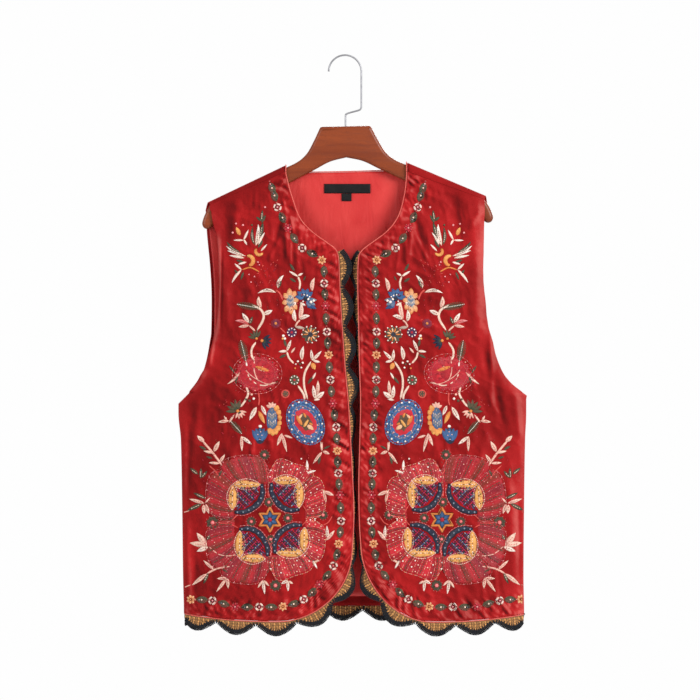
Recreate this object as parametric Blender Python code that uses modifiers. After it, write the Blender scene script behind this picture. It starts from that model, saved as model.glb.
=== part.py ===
"""Embroidered folk vest on a wooden hanger.

A sleeveless velvet vest, open down the front, hangs on a hanger that is held by its hook. The
fronts and the back are cut flat, as (x, height) outlines, and then placed in space: the back
runs over the hanger's arms to a seam on the front of each shoulder, and the body below bulges
into a shallow hollow that closes at the side seams. X is across, the front faces -Y and +Z is
up. The origin is the inner crest of the hook, where a rail holds it. "Right" and "left" are the
wearer's, so the right front lies at -X. All sizes are in millimetres until a mesh is made.
"""

import math

import bmesh
import bpy
import numpy as np
from mathutils import Vector

MM = 0.001

# Cloth walls and the gaps between pieces
VELVET = 1.6
LINING = 1.0
CROCHET = 2.0
LABEL_CLOTH = 1.0
PIPING = 1.6
SEAM = 0.3
REST = 0.5

# Hanger: a flat board with rounded edges, and a bent wire hook
BOARD = 12.0
BOARD_EDGE = 5.0
BOARD_TOP = -102.4
ARM_ANCHOR = (92.0, -162.5)
ARM_SLOPE = 0.449
ARM_STRAIGHT = (86.0, 190.0)
TILT = math.radians(1.27)
WIRE = 2.6
HOOK_RADIUS = 23.8
HOOK_CENTRE = -0.8
HOOK_STRAIGHT = 56.0
HOOK_BEND = 4.0
HOOK_BEND_CUT = 0.3
HOOK_CRANK_DROP = 5.5
HOOK_CRANK_EASE = 0.66
HOOK_DEPTH = 16.0
DRILL_SIDES = 24

# Half of the board's outline, at x and height: its top edge, the rounded tip and the underside.
# The arm's straight top edge runs between the shoulder and the tip.
BOARD_SHOULDER = (
    (34.5, -102.4), (37.5, -104.6), (44.5, -118.8), (55.5, -138.6), (65.5, -149.0), (75.5, -155.2),
)
BOARD_TIP = (
    (199.5, -213.5), (206.5, -224.0), (211.0, -235.0), (211.8, -241.5), (208.5, -246.6), (202.0, -247.0),
    (194.0, -240.5),
)
BOARD_UNDERSIDE = ((85.6, -184.2), (48.0, -165.6), (24.0, -153.6), (0.0, -147.8))

# The cloth's outer face turns over the arms on this radius
WRAP = BOARD / 2 + REST + LINING + SEAM + VELVET
WRAP_ARC = math.pi / 2 * WRAP
ARM_TO_FOLD = (REST + LINING + SEAM + VELVET) * math.hypot(1, ARM_SLOPE)

RIGHT, LEFT = -1, 1
SIDES = {"right": RIGHT, "left": LEFT}

# Shoulders: where the neck side and the tip lie, and how far in front of the fold the seam is
SHOULDER = {
    RIGHT: {"neck": -88.0, "tip": -204.5, "seam_end": -197.5, "at_neck": 15.0, "at_tip": 10.5},
    LEFT: {"neck": 90.0, "tip": 207.0, "seam_end": 202.5, "at_neck": 19.0, "at_tip": 11.5},
}
BACK_NECK_SAG = 2.0

# Front neckline, from the shoulder seam down to the front corner: x, height
NECKLINE = {
    RIGHT: ((-83.1, -192.4), (-78.0, -208.7), (-69.9, -232.1), (-59.7, -247.4), (-45.5, -260.6),
            (-27.1, -273.8), (-15.5, -283.0)),
    LEFT: ((88.4, -192.0), (85.6, -208.0), (80.0, -229.0), (71.0, -245.5), (58.0, -259.5),
           (39.0, -273.5), (24.5, -285.0)),
}
# Front edge below it: height, x of the right front, x of the left front
FRONT_EDGE = (
    (-297.0, -10.9, 19.8),
    (-335.0, -9.4, 18.9),
    (-385.0, -6.6, 20.0),
    (-450.0, -2.0, 21.4),
    (-505.0, 2.9, 23.0),
    (-560.0, 6.2, 21.8),
    (-617.0, 9.2, 20.4),
    (-668.0, 10.9, 20.9),
)
# Rounded front corners: a quarter ellipse from the edge to the hem
CORNER = {
    RIGHT: {"centre_x": -100.0, "start": -716.0, "edge_x": 8.6, "bottom": -821.0},
    LEFT: {"centre_x": 128.0, "start": -702.0, "edge_x": 22.6, "bottom": -821.5},
}
HEM_SIDE = {RIGHT: (-235.6, -811.5), LEFT: (260.3, -812.5)}

# Armhole edges of the fronts and of the back: height, x
ARMHOLE_TOP = -206.0
ARMHOLE_FRONT = {
    RIGHT: ((-240.0, -193.5), (-272.0, -185.2), (-305.0, -183.7), (-341.0, -183.2), (-400.0, -187.8),
            (-443.0, -201.0), (-465.0, -209.5), (-484.0, -221.5), (-506.8, -243.6)),
    LEFT: ((-228.0, 202.4), (-244.0, 201.6), (-314.0, 200.3), (-356.0, 202.9), (-388.0, 206.6),
           (-421.0, 213.9), (-457.0, 226.6), (-476.0, 240.4), (-495.2, 264.4)),
}
ARMHOLE_BACK = {
    RIGHT: ((-253.0, -202.8), (-305.0, -198.0), (-347.0, -195.8), (-400.0, -196.2), (-414.0, -197.8),
            (-443.0, -203.0), (-465.0, -210.0), (-484.0, -221.6), (-506.8, -243.6)),
    LEFT: ((-244.0, 200.8), (-314.0, 197.5), (-356.0, 199.9), (-388.0, 203.4), (-421.0, 211.4),
           (-457.0, 225.4), (-476.0, 239.8), (-495.2, 264.4)),
}
# Side seams below the underarm: height, x of the right side, x of the left side
SIDE_SEAM = (
    (-520.0, -243.6, 263.4),
    (-560.0, -240.0, 261.7),
    (-650.0, -238.2, 260.3),
    (-760.0, -236.8, 259.4),
    (-812.0, -235.6, 260.3),
)
BACK_HEM = {"side": -808.5, "centre": -803.0}

# How far the cloth stands from the hanger's plane: height, at the armhole edge, front, back
DEPTH = (
    (-160.0, 9.25, 11.0, 10.0),
    (-220.0, 9.25, 15.0, 12.0),
    (-290.0, 11.0, 21.0, 15.5),
    (-360.0, 12.0, 25.0, 18.5),
    (-430.0, 9.5, 27.0, 20.5),
    (-480.0, 4.5, 28.0, 21.5),
    (-507.0, 1.35, 28.3, 22.0),
    (-650.0, 1.35, 29.5, 23.0),
    (-840.0, 1.35, 30.5, 23.5),
)
BODY_CENTRE = 9.0
CROWN_POWER = 4
SHOULDER_REACH = 95.0
EDGE_RETURN = 1.2

# The front's first rows, from the shoulder seam round to the flat of the front
SEAM_ROWS = (0.0, 0.07, 0.3, 0.55, 0.8)
BELOW_TURN = 3.0

# Crochet edging: waves of one pitch, deep at the lobes and narrow between them
LOBE_PITCH = {RIGHT: 57.7, LEFT: 57.0, "back": 58.0}
LOBE_REACH = {"front": 20.0, "hem": 22.5}
LOBE_ROUNDNESS = 1.1
HEM_LOBES = {"from": -740.0, "over": 60.0}
VALLEY_REACH = 8.0
EDGING_OFF = {"piped": 3.1, "plain": SEAM}
FIRST_VALLEY = {RIGHT: 51.0, LEFT: 55.0, "back": 31.7}
STEPS_PER_LOBE = 7
EDGING_TOP = -286.0
EDGING_END = 2.0
EDGING_FLAT_BEYOND = 130.0
# How far the edging turns back into the opening: height, right front, left front (degrees)
EDGING_TURN = (
    (-285.0, -6.0, 42.0),
    (-330.0, -5.0, 50.0),
    (-380.0, -3.0, 60.0),
    (-440.0, 0.0, 74.0),
    (-468.0, 3.0, 82.0),
    (-490.0, 16.0, 86.0),
    (-515.0, 42.0, 87.0),
    (-540.0, 62.0, 87.0),
    (-600.0, 74.0, 87.0),
    (-690.0, 75.0, 87.0),
    (-735.0, 54.0, 66.0),
    (-770.0, 14.0, 18.0),
    (-800.0, 0.0, 4.0),
)

# Labels inside the back neck
NECK_LABEL = {"x": 2.5, "top": -186.0, "width": 67.5, "height": 13.5}
SIZE_TAB = {"x": 1.5, "top": -199.8, "width": 14.5, "height": 11.0}

# Grid steps of the panels
ROWS_ABOVE = 11
ROWS_BELOW = 7
FRONT_COLUMNS = 11
SHOULDER_COLUMNS = 6
NECK_COLUMNS = 7
CORNER_SHARE = 0.72
TRIM = 4.0
FLAP_ROWS = 10
FLAP_END_STEP = 0.95
LINING_INSET_COLUMNS = 1
LINING_HEM_BAND = 14.0
LINING_FLAP_END = 0.4
CORD_RESOLUTION = 1
WELD = 0.00001

COLOURS = {
    "velvet_red": ((0.48, 0.012, 0.018), 0.75, 0.0),
    "lining_coral": ((0.68, 0.045, 0.045), 0.45, 0.0),
    "piping_coral": ((0.80, 0.12, 0.10), 0.6, 0.0),
    "crochet_gold": ((0.52, 0.27, 0.09), 0.85, 0.0),
    "label_black": ((0.012, 0.012, 0.014), 0.7, 0.0),
    "stained_wood": ((0.26, 0.065, 0.026), 0.4, 0.0),
    "plated_wire": ((0.62, 0.62, 0.64), 0.25, 1.0),
}


# ---------------------------------------------------------------- curves


def curve_through(points, steps=8):
    """A Catmull-Rom curve through the points, with a few steps between each two."""
    p = np.array(points, float)
    ends = np.vstack([2 * p[0] - p[1], p, 2 * p[-1] - p[-2]])
    t = (np.arange(steps) / steps)[:, None]
    out = []
    for k in range(1, len(ends) - 2):
        a, b, c, d = ends[k - 1 : k + 3]
        bend = (2 * a - 5 * b + 4 * c - d) * t**2 + (3 * b - 3 * c + d - a) * t**3
        out.append(b + 0.5 * ((c - a) * t + bend))
    return np.vstack(out + [p[-1:]])


def along(line, shares):
    """Points at these shares of a line's length."""
    line = np.asarray(line, float)
    lengths = np.concatenate([[0], np.cumsum(np.linalg.norm(np.diff(line, axis=0), axis=1))])
    wanted = np.asarray(shares) * lengths[-1]
    return np.stack([np.interp(wanted, lengths, line[:, k]) for k in range(line.shape[1])], axis=1)


def length_of(line):
    return float(np.linalg.norm(np.diff(line, axis=0), axis=1).sum())


def level(table, height, column):
    """A table's column at a height, on a smooth curve that never swings past its rows."""
    z = np.array([row[0] for row in table])[::-1]
    value = np.array([row[column] for row in table])[::-1]
    rise = np.diff(value) / np.diff(z)
    slope = np.zeros(len(z))
    same = rise[1:] * rise[:-1] > 0
    slope[1:-1][same] = (2 * rise[1:] * rise[:-1])[same] / (rise[1:] + rise[:-1])[same]
    at = np.clip(height, z[0], z[-1])
    k = np.clip(np.searchsorted(z, at, side="right") - 1, 0, len(z) - 2)
    step = z[k + 1] - z[k]
    t = (at - z[k]) / step
    start = value[k] * (1 + 2 * t) * (1 - t) ** 2 + slope[k] * step * t * (1 - t) ** 2
    return start + value[k + 1] * t * t * (3 - 2 * t) - slope[k + 1] * step * t * t * (1 - t)


def smoothstep(t):
    t = np.clip(t, 0, 1)
    return t * t * (3 - 2 * t)


# ---------------------------------------------------------------- where the cloth lies


def arm_top(x):
    """The height of an arm's top edge, on the level hanger."""
    return ARM_ANCHOR[1] - ARM_SLOPE * (abs(x) - ARM_ANCHOR[0])


def tilted(x, z):
    """A point of the level board after it is tilted about the middle of its top edge."""
    below = z - BOARD_TOP
    cos, sin = math.cos(TILT), math.sin(TILT)
    return x * cos - below * sin, BOARD_TOP + x * sin + below * cos


def fold_line(side):
    """Two points of the line where the cloth folds over an arm."""
    ends = (ARM_ANCHOR[0], 200.0)
    return [tilted(side * x, arm_top(x) + ARM_TO_FOLD) for x in ends]


def fold_on(side, x):
    (x0, z0), (x1, z1) = fold_line(side)
    return z0 + (x - x0) * (z1 - z0) / (x1 - x0)


def fold(x):
    """The height of the shoulder fold at x, carried level between the two neck sides."""
    neck_r, neck_l = SHOULDER[RIGHT]["neck"], SHOULDER[LEFT]["neck"]
    share = (x - neck_r) / (neck_l - neck_r)
    between = fold_on(RIGHT, neck_r) * (1 - share) + fold_on(LEFT, neck_l) * share
    return np.where(x < neck_r, fold_on(RIGHT, x), np.where(x > neck_l, fold_on(LEFT, x), between))


def armhole_line(key, side):
    """A panel's armhole edge as (height, x), from its shoulder down to the underarm."""
    start = SHOULDER[side]["tip" if key == "back" else "seam_end"]
    table = ARMHOLE_BACK if key == "back" else ARMHOLE_FRONT
    return curve_through([(ARMHOLE_TOP, start)] + list(table[side]))


ARMHOLE_LINES = {(key, side): armhole_line(key, side) for key in ("front", "back") for side in (RIGHT, LEFT)}


def outer_edge(key, side, z):
    """The x of a panel's armhole or side edge at a height."""
    line = ARMHOLE_LINES[key, side]
    above = np.interp(z, line[::-1, 0], line[::-1, 1])
    below = level(SIDE_SEAM, z, 1 if side == RIGHT else 2)
    return np.where(z > line[-1, 0], above, below)


def depth(key, x, z):
    """How far the outer face lies from the hanger's plane, below the shoulders."""
    side_edge = np.where(x < BODY_CENTRE, outer_edge(key, RIGHT, z), outer_edge(key, LEFT, z))
    across = np.clip(np.abs((x - BODY_CENTRE) / (side_edge - BODY_CENTRE)), 0, 1)
    crown = np.sqrt(1 - across**CROWN_POWER)
    at_edge = level(DEPTH, z, 1)
    full = at_edge + (level(DEPTH, z, 2 if key == "front" else 3) - at_edge) * crown
    below = fold(x) - WRAP - z
    return WRAP + (full - WRAP) * smoothstep(below / SHOULDER_REACH)


def place(key, x, z):
    """A point of a panel's outer face at (x, height), below the turn over the shoulder."""
    y = depth(key, x, z)
    return np.stack([x, -y if key == "front" else y, z], axis=-1)


def over_shoulder(x, run):
    """A point of the outer face at a distance in front of the fold (behind it if negative)."""
    turn = np.clip(run / WRAP, -math.pi / 2, math.pi / 2)
    straight = np.abs(run) - WRAP * np.abs(turn)
    return np.stack([x, -WRAP * np.sin(turn), fold(x) - WRAP * (1 - np.cos(turn)) - straight], axis=-1)


def net(left, right, top, bottom):
    """A grid between four edges (a Coons patch): rows run from the left edge to the right edge."""
    left, right, top, bottom = (np.asarray(e, float) for e in (left, right, top, bottom))
    v = np.linspace(0, 1, len(left))[:, None, None]
    chord = top[-1] - top[0]
    u = ((top - top[0]) @ chord / (chord @ chord))[None, :, None]
    across = (1 - u) * left[:, None] + u * right[:, None]
    down = (1 - v) * top[None] + v * bottom[None]
    upper = (1 - u) * top[0] + u * top[-1]
    lower = (1 - u) * bottom[0] + u * bottom[-1]
    return across + down - (1 - v) * upper - v * lower


# ---------------------------------------------------------------- panel outlines


def seam_run(side, x):
    """How far in front of the fold the shoulder seam lies at x."""
    s = SHOULDER[side]
    share = np.clip((x - s["neck"]) / (s["tip"] - s["neck"]), 0, 1)
    return s["at_neck"] + (s["at_tip"] - s["at_neck"]) * share


def flat_run(side, x):
    """How far in front of the fold the front panel has turned fully down."""
    return np.maximum(seam_run(side, x), WRAP_ARC) + BELOW_TURN


def flat_height(side, x):
    return float(over_shoulder(np.array(x), flat_run(side, x))[2])


def front_line(side):
    """The front's free edge: neckline, front edge, rounded corner and hem, as (x, height)."""
    neck = SHOULDER[side]["neck"]
    column = 1 if side == RIGHT else 2
    corner = CORNER[side]
    reach = corner["edge_x"] - corner["centre_x"]
    drop = corner["start"] - corner["bottom"]
    arc = [
        (corner["centre_x"] + reach * math.cos(a), corner["start"] - drop * math.sin(a))
        for a in np.radians((0, 15, 30, 45, 60, 75, 90))
    ]
    points = [(neck, flat_height(side, neck))] + list(NECKLINE[side])
    points += [(row[column], row[0]) for row in FRONT_EDGE] + arc
    middle = (np.array(arc[-1]) + np.array(HEM_SIDE[side])) / 2 - (0, 2.5)
    return curve_through(points + [tuple(middle), HEM_SIDE[side]])


def share_at_height(line, z):
    """The share of a descending line's length at which it reaches a height."""
    lengths = np.concatenate([[0], np.cumsum(np.linalg.norm(np.diff(line, axis=0), axis=1))])
    first = int(np.argmax(line[:, 1] <= z))
    above, below = line[first - 1, 1], line[first, 1]
    part = (above - z) / (above - below)
    return (lengths[first - 1] + part * (lengths[first] - lengths[first - 1])) / lengths[-1]


def crowded(count):
    """Shares from the front edge to the side, closer together where the cloth turns."""
    return np.sin(np.linspace(0, math.pi / 2, count + 1))


def front_grid(side):
    """The right or left front's outer face: rows from the shoulder seam to the hem."""
    line = front_line(side)
    armhole = ARMHOLE_LINES["front", side][:, ::-1]
    underarm = armhole[-1]
    at_waist = share_at_height(line, underarm[1] + TRIM)
    corner = CORNER[side]
    turn = share_at_height(line, corner["start"] - CORNER_SHARE * (corner["start"] - corner["bottom"]))
    ends = line[0][0], SHOULDER[side]["seam_end"]
    start = [(x, flat_height(side, x)) for x in ends]
    outer = np.vstack([[start[-1]], armhole[armhole[:, 1] < start[-1][1] - TRIM]])
    shares = crowded(FRONT_COLUMNS)
    inner_top = along(line, np.linspace(0, at_waist, ROWS_ABOVE + 1))
    waist = inner_top[-1] + shares[:, None] * (underarm - inner_top[-1])
    above = net(inner_top, along(outer, np.linspace(0, 1, ROWS_ABOVE + 1)), along(start, shares), waist)
    inner_low = along(line, np.linspace(at_waist, turn, ROWS_BELOW + 1))
    heights = np.linspace(underarm[1], HEM_SIDE[side][1], ROWS_BELOW + 1)
    low = np.stack([outer_edge("front", side, heights), heights], axis=1)
    hem = along(line, turn + (1 - turn) * shares)
    below = net(inner_low, low, waist, hem)
    flat = np.vstack([above, below[1:]])
    grid = place("front", flat[..., 0], flat[..., 1])
    x = flat[0, :, 0]
    seam, end = seam_run(side, x) + SEAM / 2, flat_run(side, x)
    grid[0] = over_shoulder(x, end)
    grid = np.concatenate([[over_shoulder(x, seam + (end - seam) * step) for step in SEAM_ROWS], grid])
    returned = grid[:, -1:] + (0, EDGE_RETURN, 0)
    turning = len(SEAM_ROWS)
    inwards = grid_normals(grid, -side)[:turning, -1:]
    returned[:turning] = grid[:turning, -1:] - EDGE_RETURN * inwards
    return np.concatenate([grid, returned], axis=1)


def back_columns():
    """Shares across the back: the right shoulder, the neck and the left shoulder."""
    tips = SHOULDER[RIGHT]["tip"], SHOULDER[LEFT]["tip"]
    necks = [(SHOULDER[side]["neck"] - tips[0]) / (tips[1] - tips[0]) for side in (RIGHT, LEFT)]
    ramp = 1 - np.cos(np.linspace(0, math.pi / 2, SHOULDER_COLUMNS + 1))
    neck = np.linspace(necks[0], necks[1], NECK_COLUMNS + 1)[1:-1]
    return np.concatenate([necks[0] * ramp, neck, 1 - (1 - necks[1]) * ramp[::-1]])


def back_grid():
    """The back's outer face from the turn over the shoulders to the hem."""
    shares = back_columns()
    tips = SHOULDER[RIGHT]["tip"], SHOULDER[LEFT]["tip"]
    x = tips[0] + shares * (tips[1] - tips[0])
    necks = SHOULDER[RIGHT]["neck"], SHOULDER[LEFT]["neck"]
    sag = np.clip((x - necks[0]) * (necks[1] - x) / (((necks[1] - necks[0]) / 2) ** 2), 0, 1)
    top = np.stack([x, fold(x) - WRAP - BACK_NECK_SAG * np.sqrt(sag)], axis=1)
    edges = []
    for side, start in ((RIGHT, top[0]), (LEFT, top[-1])):
        armhole = ARMHOLE_LINES["back", side][:, ::-1]
        edges.append(np.vstack([[start], armhole[armhole[:, 1] < start[1] - TRIM]]))
    above_shares = np.linspace(0, 1, ROWS_ABOVE + 1)
    right, left = (along(edge, above_shares) for edge in edges)
    waist = right[-1] + shares[:, None] * (left[-1] - right[-1])
    above = net(right, left, top, waist)
    heights = [np.linspace(edge[-1][1], BACK_HEM["side"], ROWS_BELOW + 1) for edge in edges]
    low = [
        np.stack([outer_edge("back", side, z), z], axis=1)
        for side, z in zip((RIGHT, LEFT), heights)
    ]
    rise = (BACK_HEM["centre"] - BACK_HEM["side"]) * np.sin(math.pi * shares)
    hem = low[0][-1] + shares[:, None] * (low[1][-1] - low[0][-1])
    hem[:, 1] += rise
    below = net(low[0], low[1], waist, hem)
    flat = np.vstack([above, below[1:]])
    grid = place("back", flat[..., 0], flat[..., 1])
    grid[0] = over_shoulder(flat[0, :, 0], -(WRAP_ARC + fold(flat[0, :, 0]) - WRAP - flat[0, :, 1]))
    ends = grid[:, [0, -1]].copy()
    ends[..., 1] -= EDGE_RETURN
    return np.concatenate([ends[:, :1], grid, ends[:, 1:]], axis=1)


def flap_grid(side, x):
    """The back's extension over one shoulder, down to the seam on the front."""
    s = SHOULDER[side]
    outwards = (x - s["neck"]) / (s["tip"] - s["neck"])
    steps = list(np.arange(1, FLAP_ROWS) / FLAP_ROWS) + [FLAP_END_STEP, 1.0]
    rows = []
    for step in steps:
        across = x + (s["seam_end"] - s["tip"]) * outwards * step
        end = seam_run(side, across) - SEAM / 2
        rows.append(over_shoulder(across, (end + WRAP_ARC) * step - WRAP_ARC))
    return np.array(rows)


# ---------------------------------------------------------------- meshes


def grid_normals(grid, turn):
    """Unit normals of a grid; turn is 1 or -1 and makes them point out of the garment."""
    across = np.gradient(grid, axis=1)
    down = np.gradient(grid, axis=0)
    normal = np.cross(across, down) * turn
    return normal / np.linalg.norm(normal, axis=2, keepdims=True)


def sheet_object(name, grids, wall, out_sign):
    """An open surface of grids that share their edge points, thickened inwards."""
    mesh = bpy.data.meshes.new(name)
    bm = bmesh.new()
    found = {}

    def vert(point):
        key = tuple(np.round(point, 3))
        if key not in found:
            found[key] = bm.verts.new(Vector(point) * MM)
        return found[key]

    for grid in grids:
        corners = [[vert(p) for p in row] for row in grid]
        for i in range(len(corners) - 1):
            for j in range(len(corners[0]) - 1):
                quad = [corners[i][j], corners[i + 1][j], corners[i + 1][j + 1], corners[i][j + 1]]
                bm.faces.new(quad if out_sign > 0 else quad[::-1])
    bmesh.ops.recalc_face_normals(bm, faces=bm.faces)
    middle = bm.faces[len(bm.faces) // 2]
    if middle.normal.y * out_sign > 0:
        bmesh.ops.reverse_faces(bm, faces=bm.faces)
    bm.to_mesh(mesh)
    bm.free()
    obj = add_object(name, mesh)
    solidify = obj.modifiers.new("wall", "SOLIDIFY")
    solidify.thickness = wall * MM
    solidify.offset = -1
    solidify.use_even_offset = False
    return obj


def add_object(name, data):
    obj = bpy.data.objects.new(name, data)
    vest.objects.link(obj)
    return obj


def move_to(obj, collection):
    for group in list(obj.users_collection):
        group.objects.unlink(obj)
    collection.objects.link(obj)


def tube_object(name, points, diameter):
    """A round cord or wire through the points, with closed ends."""
    curve = bpy.data.curves.new(name, "CURVE")
    curve.dimensions = "3D"
    curve.bevel_depth = diameter / 2 * MM
    curve.bevel_resolution = CORD_RESOLUTION
    curve.use_fill_caps = True
    spline = curve.splines.new("POLY")
    spline.points.add(len(points) - 1)
    for spot, point in zip(spline.points, points):
        spot.co = (*(Vector(point) * MM), 1)
    return add_object(name, curve)


def as_mesh(obj):
    """Replaces a curve object by the mesh that it shows, with its caps welded."""
    name, data = obj.name, obj.data
    bpy.context.view_layer.update()
    shown = obj.evaluated_get(bpy.context.evaluated_depsgraph_get())
    mesh = bpy.data.meshes.new_from_object(shown)
    bm = bmesh.new()
    bm.from_mesh(mesh)
    bmesh.ops.remove_doubles(bm, verts=bm.verts, dist=WELD)
    bmesh.ops.recalc_face_normals(bm, faces=bm.faces)
    bm.to_mesh(mesh)
    bm.free()
    bpy.data.objects.remove(obj)
    bpy.data.curves.remove(data)
    mesh.name = name
    return add_object(name, mesh)


def finish(obj, colour):
    """Gives a piece its material and smooth shading."""
    material = bpy.data.materials.get(colour) or bpy.data.materials.new(colour)
    rgb, roughness, metallic = COLOURS[colour]
    material.use_nodes = True
    shader = material.node_tree.nodes["Principled BSDF"]
    shader.inputs["Base Color"].default_value = (*rgb, 1)
    shader.inputs["Roughness"].default_value = roughness
    shader.inputs["Metallic"].default_value = metallic
    obj.data.materials.append(material)
    if obj.type == "MESH":
        obj.data.shade_smooth()
    return obj


# ---------------------------------------------------------------- pieces


def board_outline():
    """The board's closed outline on the level hanger."""
    arm = [(x, arm_top(x)) for x in ARM_STRAIGHT]
    half = [(0.0, BOARD_TOP)] + list(curve_through(BOARD_SHOULDER + (arm[0],), 2))
    half += list(curve_through((arm[1],) + BOARD_TIP, 3))
    half += list(curve_through(BOARD_UNDERSIDE, 4))
    return [tuple(p) for p in half] + [(-x, z) for x, z in half[-2:0:-1]]


def build_hanger():
    """The tilted board with rounded edges, drilled for the hook's wire."""
    outline = board_outline()
    curve = bpy.data.curves.new("hanger_body", "CURVE")
    curve.dimensions = "2D"
    curve.fill_mode = "BOTH"
    curve.extrude = (BOARD / 2 - BOARD_EDGE) * MM
    curve.bevel_depth = BOARD_EDGE * MM
    curve.bevel_resolution = 2
    curve.offset = -BOARD_EDGE * MM
    spline = curve.splines.new("POLY")
    spline.points.add(len(outline) - 1)
    for spot, (x, z) in zip(spline.points, outline):
        spot.co = (x * MM, z * MM, 0, 1)
    spline.use_cyclic_u = True
    board = as_mesh(add_object("hanger_body", curve))
    for v in board.data.vertices:
        x, z = tilted(v.co.x / MM, v.co.y / MM)
        v.co = (x * MM, -v.co.z, z * MM)
    bpy.ops.mesh.primitive_cylinder_add(
        vertices=DRILL_SIDES, radius=(WIRE / 2 + SEAM) * MM, depth=2 * (HOOK_DEPTH + SEAM) * MM
    )
    drill = bpy.context.object
    drill.name = "hook_drill"
    drill.location = (0, 0, BOARD_TOP * MM)
    move_to(drill, cutters)
    drill.hide_render = True
    drill.display_type = "WIRE"
    cut = board.modifiers.new("hook_hole", "BOOLEAN")
    cut.operation = "DIFFERENCE"
    cut.object = drill
    return finish(board, "stained_wood")


def build_hook():
    """The wire: a half circle, a straight shank, a crank and a stem in the board."""
    centre = WIRE / 2 - HOOK_RADIUS
    path = [
        (HOOK_CENTRE - HOOK_RADIUS * math.cos(a), centre + HOOK_RADIUS * math.sin(a))
        for a in np.linspace(0, math.pi, 17)
    ]
    shank = HOOK_CENTRE + HOOK_RADIUS
    high = centre - HOOK_STRAIGHT
    low = high - HOOK_CRANK_DROP
    bend, cut, ease = HOOK_BEND, HOOK_BEND * HOOK_BEND_CUT, HOOK_CRANK_EASE
    path += [(shank, high + bend), (shank - cut, high + cut), (shank - bend, high - ease)]
    path += [(bend, low + ease), (cut, low - cut), (0.0, low - bend), (0.0, BOARD_TOP - HOOK_DEPTH)]
    return finish(tube_object("hanger_hook", [(x, 0, z) for x, z in path], WIRE), "plated_wire")


def build_back():
    """The back with its two shoulder flaps, and the lining inside it."""
    grid = back_grid()
    inner = grid[:, 1:-1]
    x = inner[0, :, 0]
    right = flap_grid(RIGHT, x[: SHOULDER_COLUMNS + 1])
    left = flap_grid(LEFT, x[-SHOULDER_COLUMNS - 1 :])
    flaps = {
        RIGHT: np.vstack([inner[:1, : SHOULDER_COLUMNS + 1], right]),
        LEFT: np.vstack([inner[:1, -SHOULDER_COLUMNS - 1 :], left]),
    }
    finish(sheet_object("back_panel", [grid, flaps[RIGHT], flaps[LEFT]], VELVET, -1), "velvet_red")
    return grid, flaps


def build_lining(grid, flaps):
    """The lining: the back's own points moved in past the velvet, short of the edges and the hem."""
    step = VELVET + SEAM
    cut = LINING_INSET_COLUMNS + 1
    inner = (grid - step * grid_normals(grid, 1))[:, cut:-cut]
    normals = {side: grid_normals(flap, -1) for side, flap in flaps.items()}
    inner[-1, :, 2] += LINING_HEM_BAND
    drop = LINING_INSET_COLUMNS
    lined = [inner]
    for side, flap in flaps.items():
        moved = flap - step * normals[side]
        moved = moved[:, drop:] if side == RIGHT else moved[:, :-drop]
        span = slice(0, moved.shape[1]) if side == RIGHT else slice(-moved.shape[1], None)
        moved[0] = inner[0, span]
        moved[-1] = moved[-2] + LINING_FLAP_END * (moved[-1] - moved[-2])
        lined.append(moved)
    finish(sheet_object("back_lining", lined, LINING, -1), "lining_coral")


def build_front(side_name):
    """One front; returns its outer face's grid."""
    grid = front_grid(SIDES[side_name])
    finish(sheet_object("front_" + side_name, [grid], VELVET, 1), "velvet_red")
    return grid


def off_panel(points, normals, handed):
    """Unit vectors that lead off the panel at right angles to its edge."""
    tangent = np.gradient(points, axis=0)
    off = np.cross(tangent, normals) * handed
    return off / np.linalg.norm(off, axis=1, keepdims=True)


def front_edge_frame(side, grid):
    """Along a front's free edge and hem: points, outward normals and the way off the panel."""
    outwards = grid_normals(grid, -side)
    points, normals = (np.concatenate([v[:, 0], v[-1, 1:]]) for v in (grid, outwards))
    return points, normals, off_panel(points, normals, side)


def build_front_piping(side_name, grid):
    side = SIDES[side_name]
    points, normals, off = front_edge_frame(side, grid)
    centre = points + off * (SEAM + PIPING / 2) - normals * VELVET / 2
    finish(tube_object(f"front_{side_name}_piping", centre[:-1], PIPING), "piping_coral")


def build_neck_piping(grid, flaps):
    """The cord along the back neckline and both flaps' neck sides."""
    inner = grid[:, 1:-1]
    neck = inner[0, SHOULDER_COLUMNS : -SHOULDER_COLUMNS]
    right = flaps[RIGHT][1:, -1]
    left = flaps[LEFT][1:, 0]
    into = SEAM + PIPING / 2
    half = VELVET / 2

    def beside(line, sign):
        """The cord beside a flap's neck side, half a wall in from its outer face."""
        tangent = np.gradient(line, axis=0)
        normal = np.cross(tangent, (sign, 0, 0))
        normal /= np.linalg.norm(normal, axis=1, keepdims=True)
        return line + np.array([sign * into, 0, 0]) - half * normal

    over_neck = neck[1:-1] + np.array([0, -half, into])
    path = np.vstack([beside(right[::-1], 1), over_neck, beside(left, -1)])
    finish(tube_object("back_neck_piping", path, PIPING), "piping_coral")


def wave(s, key):
    """0 at the valleys and 1 at the lobes of the edging."""
    return np.abs(np.sin(math.pi * (s - FIRST_VALLEY[key]) / LOBE_PITCH[key])) ** LOBE_ROUNDNESS


def stations_between(key, start, end):
    """Distances along an edge that meet each valley and lobe, with both ends."""
    step = LOBE_PITCH[key] / STEPS_PER_LOBE
    first = math.ceil((start - FIRST_VALLEY[key]) / step + 0.5)
    last = math.floor((end - FIRST_VALLEY[key]) / step - 0.5)
    return np.concatenate([[start], FIRST_VALLEY[key] + step * np.arange(first, last + 1), [end]])


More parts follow.
